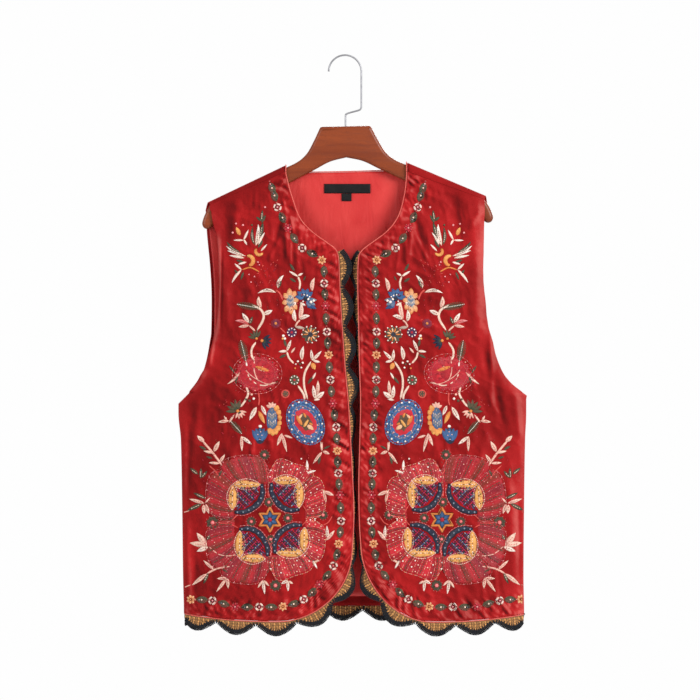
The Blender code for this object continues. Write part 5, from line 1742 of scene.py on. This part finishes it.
def blossom(work, at, turn):
    """A corner blossom: two gold leaves, a lattice between them and a navy arc behind."""

    def spots(flat):
        return at + turned(flat, turn)

    lattice(work, spots, turn)
    for start, end, width in BLOSSOM["leaves"]:
        base, tip = spots(start), spots(end)
        run = tip - base
        work.leaf(base, tip, width, "gold", height=1.8, lengthwise=False)
        work.row([base + 0.12 * run, base + 0.88 * run], 3, 2, 1.8, ["cream", "white", "clay"])
        for side in (-1, 1):
            out = across_of(unit(run)) * side * LEAF_FULLNESS * width / 2
            bow = [base + t * run + out * math.sin(math.pi * t) ** 0.8 for t in np.linspace(0, 1, 9)]
            work.row(bow, 2.6, 2.4, 1.3, ["cream", "blush"])
    arc = curve_through(spots(BLOSSOM["arc"]), 6)
    half = 4.6 * np.clip(np.sin(np.linspace(0.25, math.pi - 0.25, len(arc))) ** 0.4, 0.3, 1)
    half *= 1 + 0.1 * np.cos(np.arange(len(arc)) * 1.6)
    work.strip(arc, half, "navy", 1.6, columns=7, lengthwise=False)
    for share in np.linspace(0.06, 0.94, 8):
        work.knot(along(arc, [share])[0], 1.3, "mist")
    work.row(curve_through(spots(BLOSSOM["rim"]), 5), 2.5, 2.4, 1, ["dusk", "rose"])


def star(work, at):
    """A six-pointed star: an orange outline round blue petals and a crimson heart."""
    points = [at + (17.2 if k % 2 == 0 else 9.6) * direction_at(90 + 30 * k) for k in range(13)]
    for a, b in zip(points, points[1:]):
        run = unit(b - a)
        work.strip([a - run, (a + b) / 2, b + run], 2, "orange", 1.5)
    work.disc(at, 8.5, "brick", 0.8)
    work.petals(at, 2.6, 12.6, 6.2, 6, 60, 360, "sky", "navy")
    work.petals(at, 2, 8.6, 3.6, 6, 90, 360, "navy", "steel")
    work.disc(at, 3.1, "crimson", 1.9)


def border_chain(work):
    """The flower chain beside the front's edge: diamonds, lozenges and small blossoms in turn."""
    line = curve_through(CHAIN, 8)
    shares = [beside_line(line, np.array(x), np.array(z))[1] / length_of(line) for x, z in CHAIN]
    for k, (x, z) in enumerate(CHAIN):
        ahead, behind = along(line, [min(shares[k] + CHAIN_STEP, 1), max(shares[k] - CHAIN_STEP, 0)])
        motif = CHAIN_MOTIFS[k % len(CHAIN_MOTIFS)]
        motif(work, np.array([x, z]), heading_of(ahead - behind))
        if k + 1 < len(CHAIN):
            between = (shares[k] + shares[k + 1]) / 2
            spot, after = along(line, [between, between + CHAIN_STEP])
            lozenge(work, spot, heading_of(after - spot))
    first = np.array(CHAIN[0])
    lozenge(work, first + (-4.5, 17), 108)
    lozenge(work, first + (-8, 28), 110)
    work.knot(first + (-10.5, 34), 1.3, "rose")


def diamond(work, at, turn):
    """Four thick bars round a pink knot."""
    work.disc(at, 3.4, "wine", 0.5)
    for k in range(4):
        spoke = direction_at(turn + 45 + 90 * k)
        side = across_of(spoke)
        path = [at + (4.7 - 0.5 * abs(s)) * spoke + s * 2.9 * side for s in (-1, 0, 1)]
        work.strip(path, 1.8, "white", 1.5, tip="blush")
    work.knot(at, 1.35, "rose")


def lozenge(work, at, turn):
    """A fat olive diamond of four leaves round a white knot."""
    d = direction_at(turn)
    for sign in (-1, 1):
        work.leaf(at - 9.2 * d, at + 9.2 * d, 6, ("olive", "bark")[sign > 0], 0.13 * sign, height=0.9)
    for reach in (-6.2, -3.4, 3.4, 6.2):
        side = across_of(d) * (4.6 - 0.45 * abs(reach))
        work.stitch(at + reach * d + side, turn - 30, 2.6, 1.1, "clay")
        work.stitch(at + reach * d - side, turn + 30, 2.6, 1.1, "moss")
    work.knot(at, 1.5, "cream")
    work.knot(at + 3.6 * d, 0.9, "mist")
    for reach in (-10.6, 10.6):
        work.stitch(at + reach * d, turn + 90, 3.4, 1.5, "dusk")


def small_flower(work, at, turn):
    """A small orange flower with a brown heart."""
    work.petals(at, 1.4, 6.8, 4, 7, turn, 360, "orange", "peach")
    work.disc(at, 2.5, "brick", 1.6)
    work.knot(at, 1, "gold")


def posy(work, at, turn):
    """A small crimson flower, nearly tone on tone."""
    work.petals(at, 1.4, 6, 3.6, 6, turn, 360, "crimson", "rose_red")
    work.ring_of_knots(at, 5.6, 0.8, 6, "dusk")
    work.knot(at, 1.5, "rose")


CHAIN_MOTIFS = (diamond, posy, diamond, small_flower)


def tone_on_tone(work):
    """Crimson seed stitches scattered on the red cloth round the motifs."""
    spread = np.random.default_rng(SCATTER_SEED)
    for x0, x1, z0, z1, count in SEED_STITCHES:
        for _ in range(count):
            at = spread.uniform(x0, x1), spread.uniform(z0, z1)
            turn, length = spread.uniform(0, 180), spread.uniform(2.2, 4.5)
            work.stitch(at, turn, length, 1, SEED_THREADS[spread.integers(len(SEED_THREADS))])


def embroider(side, work, name):
    """Carries the flat needlework onto a front: its satin mesh and the rows of its stitches."""
    points = np.vstack(work.points)
    x, z = carried(side, points[:, 0], points[:, 1])
    places, _ = on_cloth(side, x, z, points[:, 2])
    mesh = bpy.data.meshes.new(name)
    faces = [face if side == RIGHT else face[::-1] for face in work.faces]
    mesh.from_pydata((places * MM).tolist(), [], faces)
    loops = np.empty(len(mesh.loops), int)
    mesh.loops.foreach_get("vertex_index", loops)
    uv = mesh.uv_layers.new(name="strands")
    uv.data.foreach_set("uv", (np.vstack(work.strands)[loops] * MM).ravel())
    dye_points(mesh, np.vstack(work.colours))
    mesh.shade_smooth()
    rows = np.array([row[:6] for row in work.stitches])
    x, z = carried(side, rows[:, 0], rows[:, 1])
    lift = rows[:, 5] * STITCH_SHARE + STITCH_OFF + work.satin_under(rows[:, 0], rows[:, 1])
    places, normals = on_cloth(side, x, z, lift)
    turns = np.radians(rows[:, 2])
    flip = 1 if side == RIGHT else -1
    ahead = np.stack([flip * np.cos(turns), 0 * turns, np.sin(turns)], axis=1)
    colours = [THREADS[row[6]] for row in work.stitches]
    return mesh, list(zip(places, ahead, normals, rows[:, 3:6], colours))


def carried(side, x, z):
    """A place on the right front, or its mirror place on the left front, clear of the side edge."""
    if side == RIGHT:
        return np.maximum(x, outer_edge("front", RIGHT, z) + SIDE_CLEAR), z
    return np.minimum(np.interp(z, *MIRROR_SHIFT) - x, outer_edge("front", LEFT, z) - SIDE_CLEAR), z


# ---- hanger


def board_outline():
    """The board's closed outline on the level hanger, laid flat."""
    arm = [(x, arm_top(x)) for x in ARM_STRAIGHT]
    half = [(0, BOARD_TOP)] + list(curve_through(BOARD_SHOULDER + (arm[0],), 5))
    half += list(curve_through((arm[1],) + BOARD_TIP, 8))
    half += list(curve_through(BOARD_UNDERSIDE, 8))
    return [(x, z, 0) for x, z in half] + [(-x, z, 0) for x, z in half[-2:0:-1]]


def build_hanger():
    """The tilted board with rounded edges."""
    rounded = {"bevel_depth": BOARD_EDGE * MM, "bevel_resolution": 5, "offset": -BOARD_EDGE * MM}
    mesh = curve_mesh(
        "hanger_board", board_outline(), closed=True, dimensions="2D", fill_mode="BOTH",
        extrude=(BOARD / 2 - BOARD_EDGE) * MM, **rounded,
    )
    for v in mesh.vertices:
        x, z = tilted(v.co.x / MM, v.co.y / MM)
        v.co = (x * MM, -v.co.z, z * MM)
    add_piece("hanger_board", mesh, "stained_wood", ["hanger_body"], stained_beech())


def build_hook():
    """The wire: a half circle, a straight shank, a crank and a stem in the board."""
    centre = WIRE / 2 - HOOK_RADIUS
    path = [
        (HOOK_CENTRE - HOOK_RADIUS * math.cos(a), centre + HOOK_RADIUS * math.sin(a))
        for a in np.linspace(0, math.pi, 41)
    ]
    shank = HOOK_CENTRE + HOOK_RADIUS
    high = centre - HOOK_STRAIGHT
    low = high - HOOK_CRANK_DROP
    bend, cut, ease = HOOK_BEND, HOOK_BEND * HOOK_BEND_CUT, HOOK_CRANK_EASE
    foot = [(shank, high + bend), (shank - cut, high + cut), (shank - bend, high - ease)]
    foot += [(bend, low + ease), (cut, low - cut), (0, low - bend), (0, BOARD_TOP - HOOK_DEPTH)]
    path += [tuple(p) for p in curve_through(foot, 4)]
    mesh = cord_mesh("hook_wire", [(x, 0, z) for x, z in path], WIRE)
    add_piece("hook_wire", mesh, "plated_wire", ["hanger_hook"], plated_wire())


# ---- back, lining and cords


def build_back():
    """The velvet back with its two shoulder flaps; returns its smooth and its creased grids."""
    grid = back_grid()
    top = grid[:1, 1:-1]
    shoulders = {RIGHT: top[:, : SHOULDER_COLUMNS + 1], LEFT: top[:, -SHOULDER_COLUMNS - 1 :]}
    flaps = {side: np.vstack([edge, flap_grid(side, edge[0, :, 0])]) for side, edge in shoulders.items()}
    cloth = creased("back", grid, grid_normals(grid, 1))
    mesh = cloth_mesh("back_velvet", [cloth, flaps[RIGHT], flaps[LEFT]], -1)
    paint_light_and_wear("back", mesh)
    obj = add_piece("back_velvet", mesh, "velvet_red", ["back_panel"], VELVET_CLOTH)
    give_wall(obj, VELVET)
    return grid, cloth, flaps


def build_lining(grid, cloth, flaps):
    """The lining: the back's own points moved in past the velvet, short of the edges and the hem."""
    step = VELVET + SEAM
    cut = LINING_INSET_COLUMNS + 1
    inner = (cloth - step * grid_normals(grid, 1))[:, cut:-cut]
    drop = LINING_INSET_COLUMNS
    short = inner[-1, :, 2] + LINING_HEM_BAND
    rows = [row for row in inner if row[:, 2].min() > short.max()]
    last = inner[-1].copy()
    last[:, 2] = short
    lined = [np.array(rows + [last])]
    for side, flap in flaps.items():
        moved = (flap - step * grid_normals(flap, -1))[:-1]
        moved = moved[:, drop:] if side == RIGHT else moved[:, :-drop]
        span = slice(0, moved.shape[1]) if side == RIGHT else slice(-moved.shape[1], None)
        moved[0] = inner[0, span]
        lined.append(moved)
    mesh = cloth_mesh("lining_cloth", lined, -1)
    obj = add_piece("lining_cloth", mesh, "lining_coral", ["back_lining"], LINING_CLOTH)
    give_wall(obj, LINING)


def build_neck_cord(grid, flaps):
    """The cord along the back neckline and both flaps' neck sides."""
    inner = grid[:, 1:-1]
    neck = inner[0, SHOULDER_COLUMNS:-SHOULDER_COLUMNS]
    right = flaps[RIGHT][1:, -1]
    left = flaps[LEFT][1:, 0]
    into = SEAM + PIPING / 2
    half = VELVET / 2

    def beside(line, sign):
        """The cord beside a flap's neck side, half a wall in from its outer face."""
        normal = unit(np.cross(np.gradient(line, axis=0), (sign, 0, 0)))
        return line + np.array([sign * into, 0, 0]) - half * normal

    over_neck = neck[CORD_CORNER:-CORD_CORNER] + np.array([0, -half, into])
    path = np.vstack([beside(right[::-1], 1), over_neck, beside(left, -1)])
    mesh = cord_mesh("neck_cord", path, PIPING)
    add_piece("neck_cord", mesh, "piping_coral", ["back_neck_piping"], CORD)


# ---- crochet edging


def off_panel(points, normals, handed):
    """Unit vectors that lead off the panel at right angles to its edge."""
    return unit(np.cross(np.gradient(points, axis=0), normals) * handed)


def front_edge_frame(side, grid, cloth):
    """Along a front's free edge and hem: points, outward normals and the way off the panel."""
    outwards = grid_normals(grid, -side)
    points, creased_points, normals = (
        np.concatenate([v[:, 0], v[-1, 1:-1]]) for v in (grid, cloth, outwards)
    )
    return creased_points, normals, off_panel(points, normals, side)


class EdgingRun:
    """Where a waved edging leaves the cloth's edge, and how far it reaches, at any distance along."""

    def __init__(self, key, cloth_edge, start, clear, turn_of):
        self.key, self.cloth_edge, self.start = key, cloth_edge, start
        self.clear, self.turn_of = clear, turn_of
        self.total = length_of(cloth_edge[0])
        self.length = self.total - EDGING_END - start

    def at(self, s):
        """The edge's middle, the way off it, the outward face and the reach at each distance."""
        base, normal, way = (
            along_with(self.cloth_edge[0], value, (self.start + s) / self.total) for value in self.cloth_edge
        )
        normal, way = unit(normal), unit(way)
        angle = np.radians([self.turn_of(p) for p in base])[:, None]
        lead = np.cos(angle) * way - np.sin(angle) * normal
        face = np.sin(angle) * way + np.cos(angle) * normal
        hem_share = smoothstep((HEM_LOBES["from"] - base[:, 2]) / HEM_LOBES["over"])
        reach = LOBE_REACH["front"] + (LOBE_REACH["hem"] - LOBE_REACH["front"]) * hem_share
        wave = np.abs(np.sin(math.pi * (s - FIRST_VALLEY[self.key]) / LOBE_PITCH[self.key])) ** LOBE_ROUNDNESS
        deep = VALLEY_REACH + (reach - VALLEY_REACH) * wave
        return base - normal * VELVET / 2, lead, face, deep

    def outline(self, pitch):
        """Evenly spaced distances whose places follow the waved outer edge."""
        s = np.linspace(0, self.length, OUTLINE_STEPS)
        middle, lead, _, deep = self.at(s)
        edge = middle + lead * deep[:, None]
        total = length_of(edge)
        return along_with(edge, s[:, None], (np.arange(int(total / pitch)) + 0.5) * pitch / total)[:, 0]


def crochet_ribs(run, stitches, spread):
    """Ribs of leaning stitches, painted lit and shaded in turn, from the cloth's edge out to the border."""
    s = np.arange(RIBS["pitch"] / 2, run.length, RIBS["pitch"])
    middle, lead, face, deep = run.at(s)
    across = np.cross(face, lead)
    begin = run.clear - RIBS["under_cord"]
    for k in range(len(s)):
        room = deep[k] - BORDER["depth"] + RIBS["under_border"] - begin
        if room < RIBS["least"]:
            continue
        count = max(1, round(room / RIBS["stitch"]))
        for j in range(count):
            lean = RIBS["lean"] * (-1) ** (j + k)
            axis = lead[k] * math.cos(lean) + across[k] * math.sin(lean)
            at = middle[k] + lead[k] * (begin + room * (j + 0.5) / count)
            size = RIBS["longer"] * room / count, RIBS["narrower"] * RIBS["pitch"], RIBS["thick"]
            # Alternate ribs are painted lighter and darker, as painted light and shade, and vary at random
            shade = linear(YARN_GOLD) * RIBS["tones"][k % 2] * spread.uniform(*RIBS["uneven"])
            stitches.append((at, axis, face[k], size, shade))


def crochet_border(run, stitches, spread):
    """Round loops along the waved edge, rows of tight stitches inside them and spikes into the ribs."""
    s = run.outline(BORDER["loop_pitch"])
    middle, lead, face, deep = run.at(s)
    edge = middle + lead * deep[:, None]
    tangent = unit(np.gradient(edge, axis=0))
    inwards = np.cross(face, tangent)
    inwards *= -np.sign((inwards * lead).sum(axis=1, keepdims=True))
    for k in range(len(s)):
        shade = linear(YARN_NAVY) * spread.uniform(*BORDER["light"]) * spread.uniform(*BORDER["hue"], 3)
        stitches.append((edge[k] + LOOPS[0] * inwards[k], inwards[k], face[k], LOOPS[1:], shade))
        for depth_in, *size in BORDER_ROWS:
            if deep[k] > run.clear + depth_in - BORDER["overlap"]:
                stitches.append((edge[k] + depth_in * inwards[k], tangent[k], face[k], size, shade))
        reach = min(BORDER["spike"], deep[k] - run.clear - BORDER["depth"])
        if k % BORDER["spike_every"] == 0 and reach > 1:
            at = edge[k] + (BORDER["depth"] - BORDER["overlap"] + reach / 2) * inwards[k]
            size = reach + SPIKE_EXTRA, SPIKE_WIDE, SPIKE_THICK
            stitches.append((at, inwards[k], face[k], size, shade))


def build_edging(name, node, run):
    """A waved ground strip with its crochet stitches."""
    seed = EDGING_SEED[run.key]
    s = np.linspace(0, run.length, round(run.length / LOBE_PITCH[run.key] * STEPS_PER_LOBE))
    middle, lead, _, deep = run.at(s)
    shares = np.linspace(0, 1, GROUND["rows"])[:, None, None]
    begin = max(run.clear - GROUND["tucked"], GROUND["least"])
    reach = begin + (deep[:, None] - GROUND["short"] - begin) * shares
    mesh = cloth_mesh(name, [middle + lead * reach], 1)
    ground = add_piece(name, mesh, "crochet_gold", [node], GROUND_YARN)
    give_wall(ground, GROUND["thick"], offset=0)
    stitches = []
    spread = np.random.default_rng(seed)
    crochet_ribs(run, stitches, spread)
    crochet_border(run, stitches, spread)
    worked = stitch_mesh(name + "_stitches", stitches, YARN, seed)
    worked = add_piece(name + "_stitches", worked, "crochet_gold", None)


def build_front_edging(name, side, grid, cloth):
    """The edging of one front, from the foot of the neckline round the corner to the side."""
    cloth_edge = front_edge_frame(side, grid, cloth)
    start = share_at_height(cloth_edge[0][:, ::2], EDGING_TOP) * length_of(cloth_edge[0])

    def turn_of(point):
        beyond = abs(point[0] - BODY_CENTRE) > EDGING_FLAT_BEYOND
        return 0 if beyond else float(level(EDGING_TURN, point[2], COLUMN[side]))

    run = EdgingRun(side, cloth_edge, start, EDGING_OFF["piped"], turn_of)
    build_edging(name + "_crochet", name + "_edging", run)


def build_back_edging(grid, cloth):
    """The edging of the back's hem."""
    points, normals = grid[-1, 1:-1], grid_normals(grid, 1)[-1, 1:-1]
    off = off_panel(points, normals, -1)
    off *= -np.sign(off[:, 2:3])
    cloth_edge = cloth[-1, 1:-1], normals, off
    run = EdgingRun("back", cloth_edge, EDGING_END, EDGING_OFF["plain"], lambda point: 0)
    build_edging("back_crochet", "back_edging", run)


# ---- fronts and labels


def build_front(name, side, work):
    """One front: velvet with a lined inner face, its piping, its edging and its embroidery."""
    grid = front_grid(side)
    cloth = creased(side, grid, grid_normals(grid, -side))
    mesh = cloth_mesh(name + "_velvet", [cloth], 1)
    paint_light_and_wear(side, mesh)
    velvet = add_piece(name + "_velvet", mesh, "velvet_red", [name], VELVET_CLOTH, LINING_CLOTH)
    give_wall(velvet, VELVET, inner_material=1)
    points, normals, off = front_edge_frame(side, grid, cloth)
    centre = points + off * (SEAM + PIPING / 2) - normals * VELVET / 2
    cord = cord_mesh(name + "_cord", centre, PIPING)
    add_piece(name + "_cord", cord, "piping_coral", [name + "_piping"], CORD)
    build_front_edging(name, side, grid, cloth)
    satin, stitches = embroider(side, work, name + "_satin")
    satin_piece = add_piece(name + "_satin", satin, "velvet_red", None, SATIN)
    knots = stitch_mesh(name + "_knots", stitches, FLOSS, KNOTS_SEED)
    knot_piece = add_piece(name + "_knots", knots, "velvet_red", None)


def build_label(name, node, size):
    """A bare woven tape on the lining's inner face."""
    inset = VELVET + 2 * SEAM + LINING + LABEL_CLOTH
    across = size["x"] + size["width"] * np.linspace(-0.5, 0.5, LABEL_STEPS[0])
    up = size["top"] - size["height"] * np.linspace(0, 1, LABEL_STEPS[1])
    x, z = np.meshgrid(across, up)
    grid, normal = on_cloth("back", x, z, np.full(x.shape, -inset))
    high, wide, tall = LABEL_WAVE
    grid -= normal * (high * np.sin(x / wide + z / tall))[..., None]
    obj = add_piece(name, cloth_mesh(name, [grid], 1), "label_black", [node], TAPE)
    give_wall(obj, LABEL_CLOTH)


# ---- studio


def aimed(name, data, location, target):
    """A camera or a light at one place, pointed at another."""
    obj = placed(name, data)
    obj.location = location
    obj.rotation_euler = (Vector(target) - obj.location).to_track_quat("-Z", "Y").to_euler()
    return obj


def build_studio():
    """A plain pale room: floor, soft even light, and a broad light from the front."""
    scene = bpy.context.scene
    lens = bpy.data.cameras.new("camera")
    lens.angle = 2 * math.atan(VIEW["width"] / 2 / (VIEW["distance"] - VIEW["front"]))
    x, y, z = VIEW["x"], -VIEW["distance"], VIEW["height"]
    scene.camera = aimed("camera", lens, (x, y, z), (x, 0, z))
    scene.view_settings.view_transform = "Standard"
    bpy.ops.mesh.primitive_plane_add(size=FLOOR_SIZE, location=(0, 0, FLOOR_HEIGHT))
    floor = bpy.context.object
    floor.name = "floor"
    floor.data.materials.append(plain_floor())
    for name, location, size, power in STUDIO_LIGHTS:
        light = bpy.data.lights.new(name, "AREA")
        light.shape = "DISK"
        light.size = size
        light.energy = power
        aimed(name, light, location, (0, 0, z))
    world = bpy.data.worlds.new("pale room")
    scene.world = world
    world.use_nodes = True
    world.node_tree.nodes.clear()
    node = partial(add_node, world.node_tree)
    seen = node("ShaderNodeBackground", {"Color": rgba("#FEFEFE"), "Strength": 1})
    glow = node("ShaderNodeBackground", {"Color": rgba("#FFFFFF"), "Strength": ROOM_GLOW})
    to_camera = node("ShaderNodeLightPath", None, "Is Camera Ray")
    mixed = node("ShaderNodeMixShader", {0: to_camera, 1: glow, 2: seen})
    node("ShaderNodeOutputWorld", {"Surface": mixed})


# ---- build

FRONT_LINES = {side: front_line(side) for side in (RIGHT, LEFT)}
THREADS = {
    name: np.minimum(linear(colour) * THREAD_LIGHT, THREAD_LIGHTEST)
    for name, colour in THREAD_COLOURS.items()
}

vest = bpy.data.collections.new("folk_vest_on_hanger")
bpy.context.scene.collection.children.link(vest)
build_studio()

VELVET_CLOTH = cotton_velvet()
LINING_CLOTH = lining_cloth()
CORD = twisted_cord()
YARN = crochet_yarn()
GROUND_YARN = crochet_ground()
SATIN = satin_thread()
FLOSS = knotting_floss()
TAPE = label_tape()

build_hanger()
build_hook()
smooth_back, creased_back, shoulder_flaps = build_back()
build_lining(smooth_back, creased_back, shoulder_flaps)
build_neck_cord(smooth_back, shoulder_flaps)
build_back_edging(smooth_back, creased_back)

needlework = Needlework()
border_chain(needlework)
medallion(needlework)
for thread, leaves in LEAVES.items():
    for x0, z0, across, up, *width_and_bow in leaves:
        leaf_width, bow = (*width_and_bow, 0)[:2]
        tones = {"tip": LEAF_TIPS.get(thread), "vein": leaf_width > 4 and LEAF_VEINS.get(thread)}
        needlework.leaf((x0, z0), (x0 + across, z0 + up), leaf_width, thread, bow, **tones)
for thread, stems in STEMS.items():
    for stem_width, foot, *route in stems:
        needlework.stem(np.add([(0, 0), *route], foot), stem_width, thread)
for motif, x0, z0, *size_thread_aim in MOTIFS:
    motif(needlework, np.array([x0, z0]), *size_thread_aim)
for thread, knots in SINGLE_KNOTS.items():
    for x0, z0, knot_radius in knots:
        needlework.knot((x0, z0), knot_radius, thread)
tone_on_tone(needlework)
for front_name, front_side in SIDES.items():
    build_front(front_name, front_side, needlework)
build_label("neck_label_tape", "neck_label", NECK_LABEL)
build_label("size_tab_tape", "size_tab", SIZE_TAB)
